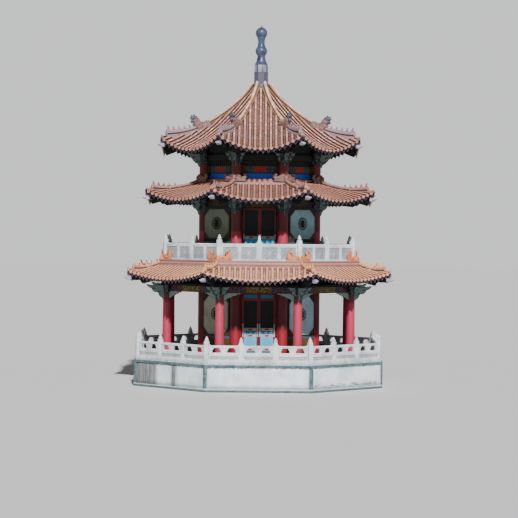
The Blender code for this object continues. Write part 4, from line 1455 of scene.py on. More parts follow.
def band_profile(inner: float, outer: float, low: float, high: float, foot: Span) -> Outline:
    """The section of a wall ridge: a sloped foot on the tiles, a sunk band and a rounded top.

    Args:
        inner: Apothem of its inner face.
        outer: Apothem of its outer one.
        low: Level of its underside.
        high: Level of its top.
        foot: Apothem and level of the foot's outer edge.

    Returns:
        Apothem and height of each of its points.
    """
    return (
        (inner, low), (inner, high), (outer - 0.05, high), (outer - 0.01, high - 0.02),
        (outer, high - 0.06), (outer - 0.035, high - 0.09), (outer - 0.035, foot[1] + 0.08),
        (outer, foot[1] + 0.05), foot, (foot[0], foot[1] - 0.12), (outer, low),
    )


@dataclass
class UpperRidgeHeads:
    """The beasts' heads where the top roof's main ridges end."""

    roof: TiledRoof

    def build_head(self) -> Draft:
        """A bowed neck that rises off the ridge, and a crested head that looks outwards."""
        draft = Draft()
        base = self.roof.hip_line(3.2, 3.3, 2)[0, 1]
        neck = ((2.66, 0.24), (2.86, 0.19), (3.05, 0.14), (3.21, 0.20), (3.31, 0.37), (3.37, 0.54))
        neck = smooth_line(neck) + (0.0, base)
        draft.tube(curled_body(neck, 0.27, 0.19, 0.62, on_corner), 1)
        head = smooth_line(((3.34, 0.52), (3.42, 0.57), (3.52, 0.58), (3.60, 0.54))) + (0.0, base)
        draft.tube(curled_body(head, 0.13, 0.125, 0.6, on_corner), 2)
        crest = np.array(
            (
                (3.30, 0.44), (3.24, 0.56), (3.32, 0.58), (3.31, 0.68), (3.40, 0.66), (3.44, 0.755),
                (3.50, 0.67), (3.60, 0.70), (3.60, 0.60), (3.66, 0.56), (3.57, 0.49), (3.62, 0.39),
                (3.55, 0.31), (3.47, 0.36),
            )
        )
        draft.tube(plate_rings(crest + (0.0, base), 0.13, 0.03, on_corner), 2)
        return draft


# Stone


@dataclass(frozen=True)
class PaleStone(Finish):
    """Pale carved stone with grey dirt and painted shade in its hollows, a painted shadow under its
    panels' top border, and streaks of dirt under its rails.
    """

    name: str
    pale: Colour
    grey: Colour
    grime_and_shade: Colour
    base_level: float

    def recipe(self) -> bpy.types.Material:
        """Mottled pale stone, greyer near its foot, with upright streaks and spots of dirt, and painted
        shade and dirt where its tone is low.
        """
        r = Recipe(self.name, 0.85, 0.25)
        _, _, z, _ = r.octagon()
        cloud = r.noise(1.6)
        fine = r.noise(22.0)
        streak = r.noise(9.0, r.stretched(1.0, 1.0, 0.12))
        foot = r.ramp(z, self.base_level + 0.30, self.base_level)
        # A low tone gives dirt and painted shade in the hollows and a painted shadow under a panel's top
        # border.
        sunk = r.tone()
        spots = fine + foot * 0.2
        colour = r.layers(
            r.mix(r.ramp(cloud, 0.35, 0.70), self.pale, self.grey),
            (r.ramp(streak, 0.50, 0.72) * 0.8, self.grey),
            (r.ramp(spots, 0.58, 0.80) * 0.65, self.grime_and_shade),
            (r.ramp(streak, 0.60, 0.80) * r.ramp(fine, 0.4, 0.6), self.grime_and_shade),
            # Dirt and painted shade by the tone.
            ((1.0 - sunk) * 0.85, self.grime_and_shade),
        )
        return r.finish(colour, None, fine, 0.004)


BALUSTRADE_STONE = PaleStone(
    "balustrade_stone", paint(208, 213, 217), paint(168, 174, 178), paint(92, 98, 100), PODIUM_TOP
)
BALCONY_STONE = PaleStone(
    "balcony_stone", paint(208, 213, 219), paint(166, 172, 178), paint(84, 90, 96), 5.85
)


class PanelCarving(Enum):
    """The carving on a sunk panel."""

    SCROLL = "scroll"
    ROSETTE = "rosette"


PANEL_EDGE = 0.006


def panel_places(span: Span, border: float, count: int) -> Array:
    """Places across a panel: its ends, its border's inner edge and an even row inside that.

    Args:
        span: The ends.
        border: Width of the border.
        count: Places in the row.

    Returns:
        The places in order.
    """
    low, high = span
    row = np.linspace(low + border + PANEL_EDGE, high - border - PANEL_EDGE, count)
    return np.concatenate(((low, low + border), row, (high - border, high)))


@dataclass
class Balustrade:
    """A stone balustrade round the octagon: kerb, posts with bud heads, rails and panels."""

    name: str
    node_prefix: str
    apothem: float
    bays: int
    foot: float
    kerb_top: float
    kerb_half: float
    rail_low: float
    rail_top: float
    post_top: float
    post_half: float
    corner_half: float
    screen: float
    stone: PaleStone
    flare: float = 0.13

    def posts(self) -> Array:
        """Where the posts stand along a side, corners included."""
        half = self.apothem * TAN
        return np.linspace(-half, half, self.bays + 1)

    def post_rings(self, half: float, rise: float) -> Array:
        """A square post with a sunk neck and a bud head, its rings rounding as they rise.

        Args:
            half: Half its width.
            rise: How much higher it is than the posts between.

        Returns:
            Rings of points about the axis.
        """
        shoulder = self.rail_top + 0.15 + rise
        top = self.post_top + rise
        profile = (
            (half, self.foot), (half, shoulder - 0.02), (0.94 * half, shoulder),
            (0.72 * half, shoulder + 0.012), (0.70 * half, shoulder + 0.035),
            (0.84 * half, shoulder + 0.05), (0.82 * half, shoulder + 0.09),
            (0.62 * half, top - 0.11), (0.36 * half, top - 0.045), (0.04 * half, top),
        )
        squareness = np.array((1.0, 1.0, 0.8, 0.15, 0.1, 0.1, 0.05, 0.0, 0.0, 0.0))
        return lathe(profile, 20, squareness)

    def relief(self, carving: PanelCarving, x: Array, z: Array) -> Array:
        """The height of a panel's carving.

        A scroll is a wave along the panel with two more across it; a rosette is six petals
        whose height is the cosine of six times the angle, fading from the middle.

        Args:
            carving: Which carving.
            x: Place along the panel from its middle, in metres.
            z: Place up it from its middle.

        Returns:
            A share from 0 to 1.
        """
        if carving is PanelCarving.SCROLL:
            waves = np.sin(34 * x + 3 * np.sin(40 * z)) * np.cos(22 * z + 2 * np.sin(17 * x))
            return 0.5 + 0.5 * waves
        radius, angle = np.hypot(x, z), np.arctan2(z, x)
        petals = np.clip(np.cos(6 * angle) * 0.5 + 0.7, 0, 1) * np.clip(1.15 - radius / 0.17, 0, 1)
        corner = 0.5 + 0.5 * np.cos(26 * x) * np.cos(26 * z)
        return np.where(radius < 0.19, petals, 0.6 * corner)

    def panel(
        self, draft: Draft, u: Span, z: Span, border: float, sunk: float, carving: PanelCarving
    ) -> None:
        """A slab with a sunk, carved panel on both its faces.

        Rings follow each other along u; each runs up the outer face and down the inner one.
        The face lies at half the screen's thickness, less the sinking inside the border, plus
        a share of it for the carving. The tone is low in the hollows, for dirt and painted shade,
        and lowest under the top border, for a painted shadow.

        Args:
            draft: Where it goes.
            u: Range along the side.
            z: Range up.
            border: Width of the raised border.
            sunk: Depth of the panel.
            carving: What is carved on it.
        """
        along = panel_places(u, border, 22)
        level = panel_places(z, border, 10)
        x, y = np.meshgrid(along, level, indexing="ij")
        margin = border + PANEL_EDGE / 2
        inside = (x > u[0] + margin) & (x < u[1] - margin)
        inside &= (y > z[0] + margin) & (y < z[1] - margin)
        shape = self.relief(carving, x - sum(u) / 2, y - sum(z) / 2)
        depth = np.where(inside, sunk * (1.0 - 0.6 * shape), 0.0)
        half = self.screen / 2
        outer = on_side(x, self.apothem + half - depth, y)
        inner = on_side(x, self.apothem - half + depth, y)
        # Painted shadow under the panel's top border, and painted shade in the carving's hollows.
        under_edge = np.clip((z[1] - border - y) / 0.07, 0.0, 1.0)
        tone = np.where(inside, (0.10 + 0.65 * shape) * (0.25 + 0.75 * under_edge), FULL_TONE)
        rings = np.concatenate((outer, inner[:, ::-1]), 1)
        draft.tube(rings, 0, None, np.concatenate((tone, tone[:, ::-1]), 1))

    def rail(self, draft: Draft, left: float, right: float) -> None:
        """The handrail of a bay, whose top sweeps up in a quarter round at each post.

        Args:
            draft: Where it goes.
            left: Where it starts along the side.
            right: Where it ends.
        """
        flare = self.flare
        share = np.linspace(0.0, 1.0, 6)
        rise = flare * (1.0 - np.sqrt(1.0 - (1.0 - share) ** 2))
        along = np.concatenate((left + flare * share, right - flare * share[::-1]))
        lift = np.concatenate((rise, rise[::-1]))[:, None]
        half = self.screen / 2 + 0.012
        across = np.array((-0.7, -1.0, -1.0, -0.6, 0.6, 1.0, 1.0, 0.7))[None] * half
        high = self.rail_top - self.rail_low
        level = np.array((0.0, 0.15, 0.72, 1.0, 1.0, 0.72, 0.15, 0.0))[None] * high
        top = np.array((0, 0, 1, 1, 1, 1, 0, 0))[None]
        rings = on_side(along[:, None], self.apothem + across, self.rail_low + level + lift * top)
        draft.tube(rings, 0, None, FULL_TONE)

    def bar(self, draft: Draft, u: Span, z: Span, proud: float, chamfer: float) -> None:
        """A bar that stands proud of both the screen's faces.

        Args:
            draft: Where it goes.
            u: Range along the side.
            z: Range up.
            proud: How far it stands out.
            chamfer: Width of its cut edges.
        """
        half = self.screen / 2 + proud
        faces = (self.apothem - half, self.apothem + half)
        draft.tube(block_rings(u, faces, z, chamfer), 0, None, FULL_TONE)

    def bay(self, draft: Draft, left: float, right: float) -> None:
        """What fills a bay between two posts, from the kerb to the rail."""
        raise NotImplementedError

    def build(self) -> None:
        """Makes the balustrade in place of its eight nodes."""
        side, ring = Draft(), Draft()
        posts = self.posts()
        for number, (left, right) in enumerate(zip(posts, posts[1:])):
            start = left + (self.corner_half if number == 0 else self.post_half) - 0.01
            end = right - (self.corner_half if number == self.bays - 1 else self.post_half) + 0.01
            self.rail(side, start, end)
            self.bay(side, start, end)
        for u in posts[1:-1]:
            rings = self.post_rings(self.post_half, 0.0) + on_side(u, self.apothem, 0.0)
            side.tube(rings, 0, None, FULL_TONE)
        corner = self.post_rings(0.92 * self.corner_half, 0.03)
        spun = corner @ turn(0.5).T + on_corner(self.apothem / COS, 0.0, 0.0)
        side.tube(spun, 0, None, FULL_TONE)
        low, high, half, c = self.foot, self.kerb_top, self.kerb_half, 0.015
        near, far = self.apothem - half, self.apothem + half
        kerb = (
            (near, low), (near, high - c), (near + c, high), (far - c, high), (far, high - c), (far, low),
        )
        ring.tube(octagon_rings(kerb), 0, None, FULL_TONE, loop=True)
        ring.include(side.around())
        nodes = [f"{self.node_prefix}_{name}" for name in SIDE_NAMES]
        make_piece(self.name, ring, (self.stone,), nodes=nodes)


@dataclass
class PiercedBalustrade(Balustrade):
    """The podium's balustrade, open under its rail between cloud-shaped supports."""

    middle_rail: Span = (1.669, 1.791)

    def support(self, draft: Draft, u: float, side: float) -> None:
        """A cloud-shaped support, wide at the rail and narrow at the foot.

        Args:
            draft: Where it goes.
            u: Its middle along the side.
            side: 0 for a whole one, or -1 or 1 for a half one on that side of u.
        """
        shape = np.array((
            (0.150, 0.0), (0.135, 0.2), (0.155, 0.36), (0.145, 0.5), (0.190, 0.66), (0.195, 0.8),
            (0.245, 1.0),
        ))
        shape[:, 0] += 0.01 if side else 0.0
        low, high = self.middle_rail[1] - 0.01, self.rail_low + 0.01
        right = np.stack((u + shape[:, 0], low + shape[:, 1] * (high - low)), -1)
        left = np.stack((u - shape[:, 0], right[:, 1]), -1)
        straight = np.stack((np.full(7, u), right[:, 1]), -1)
        right, left = (straight if side < 0 else right), (straight if side > 0 else left)
        outline = np.concatenate((right, left[::-1]))
        rings = plate_rings(outline, self.screen - 0.02, 0.012, on_side_plate(self.apothem))
        draft.tube(rings, 0, None, 0.9)

    def bay(self, draft: Draft, left: float, right: float) -> None:
        """The lower sunk panel, the middle rail and the supports of the openings."""
        low, high = self.middle_rail
        levels = (self.kerb_top - 0.01, low + 0.01)
        self.panel(draft, (left, right), levels, 0.045, 0.022, PanelCarving.SCROLL)
        self.bar(draft, (left, right), (low, high), 0.008, 0.02)
        self.support(draft, (left + right) / 2, 0.0)
        self.support(draft, left + 0.002, 1.0)
        self.support(draft, right - 0.002, -1.0)


@dataclass
class PanelBalustrade(Balustrade):
    """The balcony's balustrade, with two sunk carved panels in each bay."""

    def bay(self, draft: Draft, left: float, right: float) -> None:
        """The two carved panels and the bar between them."""
        middle = (left + right) / 2
        levels = (self.kerb_top - 0.01, self.rail_low + 0.01)
        for u in ((left, middle - 0.02), (middle + 0.02, right)):
            self.panel(draft, u, levels, 0.055, 0.026, PanelCarving.ROSETTE)
        self.bar(draft, (middle - 0.045, middle + 0.045), levels, 0.012, 0.012)


PODIUM_BALUSTRADE = PiercedBalustrade(
    "podium_balustrade", "podium_balustrade", 5.676, 3, PODIUM_TOP, 1.44, 0.11, 2.013, 2.12,
    2.50, 0.095, 0.1125, 0.12, BALUSTRADE_STONE,
)
BALCONY_BALUSTRADE = PanelBalustrade(
    "balcony_balustrade", "balcony_balustrade", 4.449, 2, 5.85, 5.99, 0.09, 6.640, 6.75,
    7.15, 0.085, 0.11, 0.10, BALCONY_STONE,
)


@dataclass(frozen=True)
class StainedRender(Finish):
    """The podium's white render in its teal-grey frame, stained side by side as weather does."""

    name: str = "podium_render"
    white: Colour = paint(216, 223, 228)
    shade: Colour = paint(186, 193, 198)
    stain: Colour = paint(62, 66, 66)
    frame_light: Colour = paint(84, 112, 118)
    frame_dark: Colour = paint(52, 76, 84)
    foot: Colour = paint(84, 94, 92)
    ledge: Colour = paint(178, 186, 188)
    paving: Colour = paint(150, 148, 142)

    def recipe(self) -> bpy.types.Material:
        """White panels, framed by height, by nearness to a corner and by depth.

        Streaks run down from the top band, and a wavy tide line lies over the foot. The side
        to the left has two broad dark stains, and the side to the right a dark streak low
        down.
        """
        r = Recipe(self.name, 0.9, 0.2)
        u, a, z, side = r.octagon()
        cloud, fine = r.noise(1.1), r.noise(14.0)
        streak = r.noise(6.0, r.stretched(1.0, 1.0, 0.06))
        thin = r.noise(22.0, r.stretched(1.0, 1.0, 0.05))
        proud = r.ramp(a, 5.835, 5.850)
        drip = r.ramp(thin, 0.56, 0.70) * r.ramp(z, 0.62, 1.13)
        moss = r.ramp(fine + r.ramp(z, 0.95, 1.13) * 0.35, 0.72, 0.86) * r.ramp(z, 0.8, 1.10)
        wave = r.noise(1.5) * 0.14 + 0.16
        tide = r.within(z, 0.17, 0.20, 0.05)
        tide_line = r.ramp(abs(z - wave), 0.05, 0.0) * r.ramp(fine, 0.35, 0.6)
        is_left = r.within(side, -1.4, -0.6, 0.05)
        is_right = r.within(side, 0.6, 1.4, 0.05)
        wobble = (streak - 0.5) * 0.5
        shifted = u + wobble
        broad = r.math("ADD", r.ramp(shifted, -0.72, -1.0), r.within(shifted, 0.08, 0.52, 0.10), clamp=True)
        broad = broad * is_left
        grain = r.math("ADD", thin * 1.5, 0.05, clamp=True)
        edge = r.math("ADD", r.ramp(z, 0.42, 0.16), r.ramp(abs(u), 2.20, 2.36), clamp=True)
        edge = edge * (r.noise(5.0) + 0.15)
        mottled = r.ramp(r.noise(3.0, r.stretched(1.0, 1.0, 3.0)), 0.46, 0.62)
        low_right = r.within(z, 0.20, 0.36, 0.06) * mottled * is_right
        panel = r.layers(
            r.mix(r.ramp(cloud, 0.35, 0.7), self.white, self.shade),
            (r.ramp(streak, 0.55, 0.8) * 0.35, self.shade), (drip * 0.55, self.stain),
            (moss * 0.75, self.stain), (tide * 0.35, self.foot), (tide_line * 0.5, self.stain),
            (edge * 0.7, self.foot), (broad * grain, self.stain), (low_right * 0.7, self.stain),
        )
        frame_colour = r.mix(r.ramp(r.noise(5.0), 0.38, 0.66), self.frame_light, self.frame_dark)
        worn_foot = r.ramp(z, 0.16, 0.02) * r.ramp(cloud, 0.3, 0.6)
        colour = r.layers(
            panel, (proud, frame_colour), (proud * r.within(z, 0.10, 0.16, 0.012), self.ledge),
            (proud * r.ramp(fine, 0.55, 0.75) * 0.6, self.stain), (worn_foot * 0.8, self.foot),
            (r.ramp(z, 1.2385, 1.2395), r.mix(fine, self.paving, self.foot)),
        )
        return r.finish(colour, None, fine, 0.006)


# Columns and brackets


@dataclass(frozen=True)
class ColumnPaint(Finish):
    """Matt red column paint with dull patches: deep red as painted shade, rose as painted sunlight
    where the sun reaches it, and a darker top as painted shade under the eaves.
    """

    name: str
    # The red in painted shade.
    shaded_red: Colour
    # Levels and colours of painted sunlight, below where the eaves' shadows end.
    bands: tuple[tuple[float, float, Colour], ...]
    # Painted shade at the top, under the eaves, above the level that follows.
    top_shade: Colour
    top_shade_level: float

    def recipe(self) -> bpy.types.Material:
        """Deep red painted shade, painted sunlit rose between the levels of each band and painted
        shade at the top, with scuffs and fine grain.
        """
        r = Recipe(self.name, 0.55, 0.35)
        _, _, z, _ = r.octagon()
        cloud, fine = r.noise(2.0), r.noise(30.0)
        streak = r.noise(8.0, r.stretched(1.0, 1.0, 0.2))
        level = z + (cloud - 0.5) * 0.2
        colour = self.shaded_red
        # Painted sunlight in each band.
        for low, high, sunlit_red in self.bands:
            colour = r.mix(r.within(level, low, high, 0.10), colour, sunlit_red)
        colour = r.layers(
            colour, (r.ramp(streak, 0.5, 0.8) * 0.35, self.shaded_red),
            (r.ramp(fine, 0.6, 0.85) * 0.25, self.bands[0][2]),
            # Painted shade at the top.
            (r.ramp(z, self.top_shade_level - 0.1, self.top_shade_level + 0.1), self.top_shade),
        )
        rough = fine * 0.2 + 0.42
        return r.finish(colour, rough, fine, 0.002)


@dataclass(frozen=True)
class CarvedPaint(Finish):
    """Carved brackets in grey-green and blue paint, rubbed pale along their edges."""

    name: str
    body: Colour
    second: Colour
    edge: Colour

    def recipe(self) -> bpy.types.Material:
        """Two dull colours in patches, with pale veins like the carving's outlines."""
        r = Recipe(self.name, 0.7, 0.25)
        cloud, fine = r.noise(7.0), r.noise(34.0)
        vein = abs(r.noise(9.0, detail=1.5) - 0.5)
        rim = r.tone()
        colour = r.layers(
            r.mix(r.ramp(cloud, 0.42, 0.58), self.body, self.second),
            (r.ramp(vein, 0.035, 0.0) * 0.55, self.edge),
            (r.ramp(rim, 0.75, 0.95) * 0.85, self.edge),
        )
        return r.finish(colour, None, cloud + fine * 0.4, 0.015)


SHAFT_SEGMENTS = 36
BRACKET_PAINT = CarvedPaint(
    "bracket_paint", paint(46, 64, 62), paint(20, 28, 36), paint(122, 140, 138)
)


def scroll_outline(length: float, height: float, drop: float) -> Array:
    """The outline of a carved bracket that reaches out from a column.

    The underside steps down in three scallops from the tip to the column; each scallop is a
    half sine, and the top is straight with a lifted tip.

    Args:
        length: How far it reaches.
        height: Its height at the column.
        drop: How far its tip turns up.

    Returns:
        Points outwards and up from the foot of its top line.
    """
    share = np.linspace(0.0, 1.0, 19)
    wave = 0.045 * np.abs(np.sin(3 * math.pi * share)) * (0.4 + share)
    low = -height * (1.0 - share**1.6) - 0.09 - wave + drop * share**3
    under = np.stack((length * share, low), -1)
    top = np.array(((length + 0.02, 0.6 * drop + 0.01), (0.9 * length, 0.0), (0.0, 0.0)))
    return np.concatenate((under, top))


@dataclass
class Columns:
    """A ring of eight round columns, with turned bases and carved bracket heads."""

    name: str
    node_prefix: str
    circle: float
    foot: float
    top: float
    foot_radius: float
    head_radius: float
    base_radius: float
    heads: Sequence[tuple[float, float, float]]
    paint_finish: ColumnPaint
    plinth: PaleStone

    def build_shaft(self) -> Draft:
        """The shaft with its slight taper, and the rounded base under it."""
        draft = Draft()
        share = np.linspace(0.0, 1.0, 12)
        levels = self.foot + share * (self.top - self.foot)
        radii = self.foot_radius + (self.head_radius - self.foot_radius) * share**1.5
        place = on_corner(self.circle, 0.0, 0.0)
        draft.tube(lathe(tuple(zip(radii, levels)), SHAFT_SEGMENTS) + place, 0)
        if self.base_radius:
            b, f = self.base_radius, self.foot
            profile = (
                (b - 0.02, f), (b, f + 0.02), (b + 0.004, f + 0.06), (b - 0.01, f + 0.10),
                (self.foot_radius + 0.015, f + 0.14), (self.foot_radius - 0.02, f + 0.15),
            )
            draft.tube(lathe(profile, SHAFT_SEGMENTS) + place, 1, None, FULL_TONE)
        return draft

    def head(self, draft: Draft, reach: float, low: float, high: float) -> None:
        """The carved bracket head of a column, as large as the arms of its node.

        Two scroll plates reach outwards, one over the other, and shorter ones to both sides,
        with a bearing block on each end.

        Args:
            draft: Where it goes.
            reach: How far the upper arm reaches from the column's axis.
            low: Level of the lower arm's underside.
            high: Level of the upper arm's top.
        """
        middle = low + 0.56 * (high - low)
        place = on_corner(self.circle, 0.0, 0.0)
        plates = [
            (0.0, reach, high, high - middle - 0.03, 0.05, 0.17, 0.022),
            (0.0, 0.76 * reach, middle + 0.02, middle - low - 0.04, 0.04, 0.15, 0.022),
            (0.0, 0.42 * reach, low + 0.06, 0.26, 0.02, 0.12, 0.022),
        ]
        for turned in (-67.5, 67.5):
            plates.append((turned, 0.62 * reach, high, 0.12, 0.02, 0.11, 0.02))
            plates.append((turned, 0.46 * reach, middle + 0.02, 0.16, 0.02, 0.11, 0.02))
        for turned, length, top, height, drop, thickness, chamfer in plates:
            outline = scroll_outline(length, height, drop) + (0.0, top)
            rings = plate_rings(outline, thickness, chamfer, from_column(self.circle, turned))
            draft.tube(rings, 2, None, plate_tone(rings))
        r = self.head_radius
        cuff = (
            (r, low + 0.02), (r + 0.04, low + 0.07), (r + 0.045, middle - 0.05), (r + 0.01, middle),
            (r + 0.06, middle + 0.05), (r + 0.065, high - 0.05), (r + 0.02, high - 0.001),
        )
        draft.tube(lathe(cuff, 20) + place, 2, None, 0.5)
        for radius, level in ((0.72 * reach, middle + 0.01), (0.40 * reach, low + 0.05)):
            profile = (
                (0.055, level), (0.085, level + 0.035), (0.085, level + 0.075), (0.06, level + 0.08),
            )
            place = on_corner(self.circle + radius, 0.0, 0.0)
            block = lathe(profile, 16, 1.0) @ turn(0.5).T + place
            draft.tube(block, 2, None, 0.8)

    def build(self) -> None:
        """Makes the columns in place of their nodes."""
        draft = self.build_shaft()
        for reach, low, high in self.heads:
            self.head(draft, reach, low, high)
        nodes = [f"{self.node_prefix}_{number}" for number in range(1, SIDES + 1)]
        finishes = (self.paint_finish, self.plinth, BRACKET_PAINT)
        make_piece(self.name, draft.around(), finishes, nodes=nodes)


OUTER_COLUMNS = Columns(
    "outer_columns", "outer_column", 4.713, PODIUM_TOP, 4.7545, 0.215, 0.190, 0.262,
    ((1.00, 4.33, 4.7547),),
    # Deep red painted shade, painted sunlight up to the eave's shadow at 3.97, painted shade above 4.30.
    ColumnPaint(
        "outer_column_paint", paint(96, 24, 34), ((1.0, 3.97, paint(164, 46, 72)),),
        paint(60, 20, 26), 4.30,
    ),
    BALUSTRADE_STONE,
)
INNER_COLUMNS = Columns(
    "inner_columns", "inner_column", 2.869, PODIUM_TOP, 11.60, 0.256, 0.250, 0.30,
    ((0.80, 8.24, 8.84), (0.86, 10.54, 11.02)),
    # Deep red painted shade, painted sunlight from 1.0 to 2.65 and from 5.7 to 7.32, painted shade above
    # 10.50.
    ColumnPaint(
        "inner_column_paint",
        paint(90, 18, 26),
        ((1.0, 2.65, paint(140, 20, 36)), (5.7, 7.32, paint(160, 46, 68))),
        paint(40, 18, 22),
        10.50,
    ),
    BALUSTRADE_STONE,
)


# Painted beams


@dataclass(frozen=True)
class BeamPainting(Finish):
    """A beam painted in bands: a middle cartouche, zigzag cells beside it and end bars."""

    name: str
    low: float
    high: float
    cartouche_half: float
    cells_half: float
    cartouche: Colour
    cartouche_mark: Colour
    ground: Colour
    cell_first: Colour
    cell_second: Colour
    cell_third: Colour
    bar: Colour
    edge: Colour

    def recipe(self) -> bpy.types.Material:
        """Bands along u by distance from the middle of the side, and lines along both edges."""
        r = Recipe(self.name, 0.6, 0.3)
        u, _, z, _ = r.octagon()
        share = (z - self.low) / (self.high - self.low)
        far = abs(u)
        lift = abs(share - 0.5)
        slant = far - lift * 0.22
        fine = r.noise(26.0)
        zigzag = r.math("FRACT", (far + lift * 0.16) * 5.5)
        cell = r.cells(15.0)
        first = r.within(zigzag, 0.0, 0.33, 0.03)
        second = r.within(zigzag, 0.36, 0.66, 0.03)
        cells = r.layers(
            self.ground, (first, self.cell_first), (second, self.cell_second),
            (r.ramp(cell, 0.80, 0.84), self.cell_third), (r.ramp(cell, 0.18, 0.14), self.bar),
        )
        scroll = abs(r.noise(9.0, detail=1.0) - 0.5)
        middle = r.mix(r.ramp(scroll, 0.07, 0.03), self.cartouche, self.cartouche_mark)
        inside = r.ramp(slant, self.cartouche_half + 0.01, self.cartouche_half - 0.01)
        outline = r.within(slant, self.cartouche_half, self.cartouche_half + 0.035, 0.006)
        beyond = r.ramp(far, self.cells_half, self.cells_half + 0.02)
        stripes = r.math("FRACT", far * 6.0)
        ends = r.mix(r.ramp(stripes, 0.5, 0.56), self.bar, self.ground)
        colour = r.layers(
            cells, (inside, middle), (outline, self.edge), (beyond, ends),
            (r.ramp(share, 0.12, 0.08), self.bar), (r.ramp(share, 0.93, 0.96), self.edge),
            (r.ramp(fine, 0.55, 0.8) * 0.5, self.ground),
        )
        return r.finish(colour, None, fine, 0.003)


OUTER_BEAM_PAINT = BeamPainting(
    "outer_beam_painting", 4.465, 4.765, 0.50, 1.35, paint(38, 44, 28), paint(124, 106, 38),
    paint(22, 25, 26), paint(18, 64, 56), paint(24, 40, 88), paint(112, 30, 28),
    paint(100, 26, 24), paint(78, 68, 34),
)
CLERESTORY_PAINT = BeamPainting(
    "clerestory_painting", 10.092, 10.407, 0.22, 0.66, paint(112, 16, 22), paint(150, 40, 36),
    paint(18, 24, 24), paint(18, 72, 68), paint(22, 44, 100), paint(38, 72, 40),
    paint(58, 44, 40), paint(76, 66, 36),
)


@dataclass
class OuterBeams:
    """The beams over the outer columns, the frieze over them and the wing brackets."""

    line: float = 4.354
    beam: Span = (4.465, 4.765)
    plate: Span = (4.755, 4.875)
    frieze_top: float = 5.6195

    def build(self) -> None:
        """Makes them in place of their node."""
        draft, line = Draft(), self.line
        low, high = self.beam
        c = 0.018
        near, far = line - 0.12, line + 0.12
        beam = (
            (near, low + c), (near, high), (far, high), (far, low + 0.055), (far + 0.012, low + 0.05),
            (far + 0.012, low + c), (far - c, low), (near + c, low),
        )
        draft.tube(octagon_rings(beam), 0, loop=True)
        low, high = self.plate
        near, far = line - 0.30, line + 0.30
        plate = (
            (near, low), (near, high), (far - c, high), (far, high - c), (far, low + c), (far - c, low),
        )
        draft.tube(octagon_rings(plate), 1, loop=True)
        near, far = line - 0.07, line + 0.07
        low, high = high - 0.01, self.frieze_top
        frieze = ((near, low), (near, high), (far, high), (far, low))
        draft.tube(octagon_rings(frieze), 1, loop=True)
        draft.include(self.build_wing().mirrored().around())
        finishes = (OUTER_BEAM_PAINT, SOFFIT, BRACKET_PAINT)
        make_piece("outer_beams", draft, finishes, nodes=["outer_beam_ring"])

    def build_wing(self) -> Draft:
        """A carved wing under the beam beside a column, its underside in three scallops."""
        draft = Draft()
        edge = self.line * TAN - 0.17
        share = np.linspace(0.0, 1.0, 22)
        wave = 0.035 * np.abs(np.sin(3.5 * math.pi * share))
        under = self.beam[0] - 0.33 * (1.0 - share) ** 1.25 - wave - 0.02
        low = np.stack((edge - 0.78 * share, under), -1)
        top = self.beam[0] + 0.01
        outline = np.concatenate((low, ((edge - 0.78, top), (edge, top))))
        rings = plate_rings(outline, 0.09, 0.02, on_side_plate(self.line))
        draft.tube(rings, 2, None, plate_tone(rings))
        return draft


# Walls


@dataclass(frozen=True)
class WallPainting(Finish):
    """A painted wall: a pale plaque with cut corners on a grey-green ground, over a dado."""

    name: str
    plaque_low: float
    plaque_high: float
    dado_top: float
    plaque_sunlit: Colour = paint(134, 168, 176)
    plaque_shaded: Colour = paint(146, 150, 132)
    ground: Colour = paint(44, 50, 46)
    line: Colour = paint(96, 72, 40)
    dado: Colour = paint(84, 62, 34)
    strip: Colour = paint(70, 90, 104)
    plaster: Colour = paint(168, 164, 154)
    half: float = 0.82
    corner: float = 0.33

    def recipe(self) -> bpy.types.Material:
        """The plaque's octagon by the largest of three distances from its middle.

        The three are along, up, and along plus up over the cut corners. The plaques left of
        the front take the shaded colour, beige, as painted shade, and the others the sunlit
        colour, blue-green, as painted sunlight.
        """
        r = Recipe(self.name, 0.8, 0.2)
        u, a, z, side = r.octagon()
        cloud, fine = r.noise(1.5), r.noise(24.0)
        middle = (self.plaque_low + self.plaque_high) / 2
        half_height = (self.plaque_high - self.plaque_low) / 2
        far = abs(u)
        lift = abs(z - middle)
        along = far - self.half
        up = lift - half_height
        over = far + lift + (self.corner - self.half - half_height)
        over = over * 0.7071
        outside = r.math("MAXIMUM", r.math("MAXIMUM", along, up), over)
        plaque = r.ramp(outside, 0.004, -0.004)
        border = r.within(outside, -0.052, -0.036, 0.005)
        in_box = r.ramp(r.math("MAXIMUM", along, up), 0.006, -0.006) * r.ramp(z, middle, middle - 0.1)
        corner = in_box * (1.0 - plaque)
        left = r.ramp(side, -0.5, -0.6)
        pale = r.mix(left, self.plaque_sunlit, self.plaque_shaded)
        pale = r.mix(r.ramp(cloud, 0.4, 0.75) * 0.3, pale, self.ground)
        rim = r.within(outside, 0.0, 0.018, 0.004)
        colour = r.layers(
            self.ground, (corner, self.dado), (plaque, pale), (rim, self.line),
            (border * 0.35, self.ground),
            (r.within(z, self.dado_top, self.dado_top + 0.10, 0.006), self.strip),
            (r.ramp(z, self.dado_top + 0.004, self.dado_top - 0.004), self.dado),
            (r.ramp(fine, 0.55, 0.8) * 0.3, self.ground),
            (r.ramp(a, 2.50, 2.44), self.plaster),
        )
        return r.finish(colour, None, fine, 0.003)


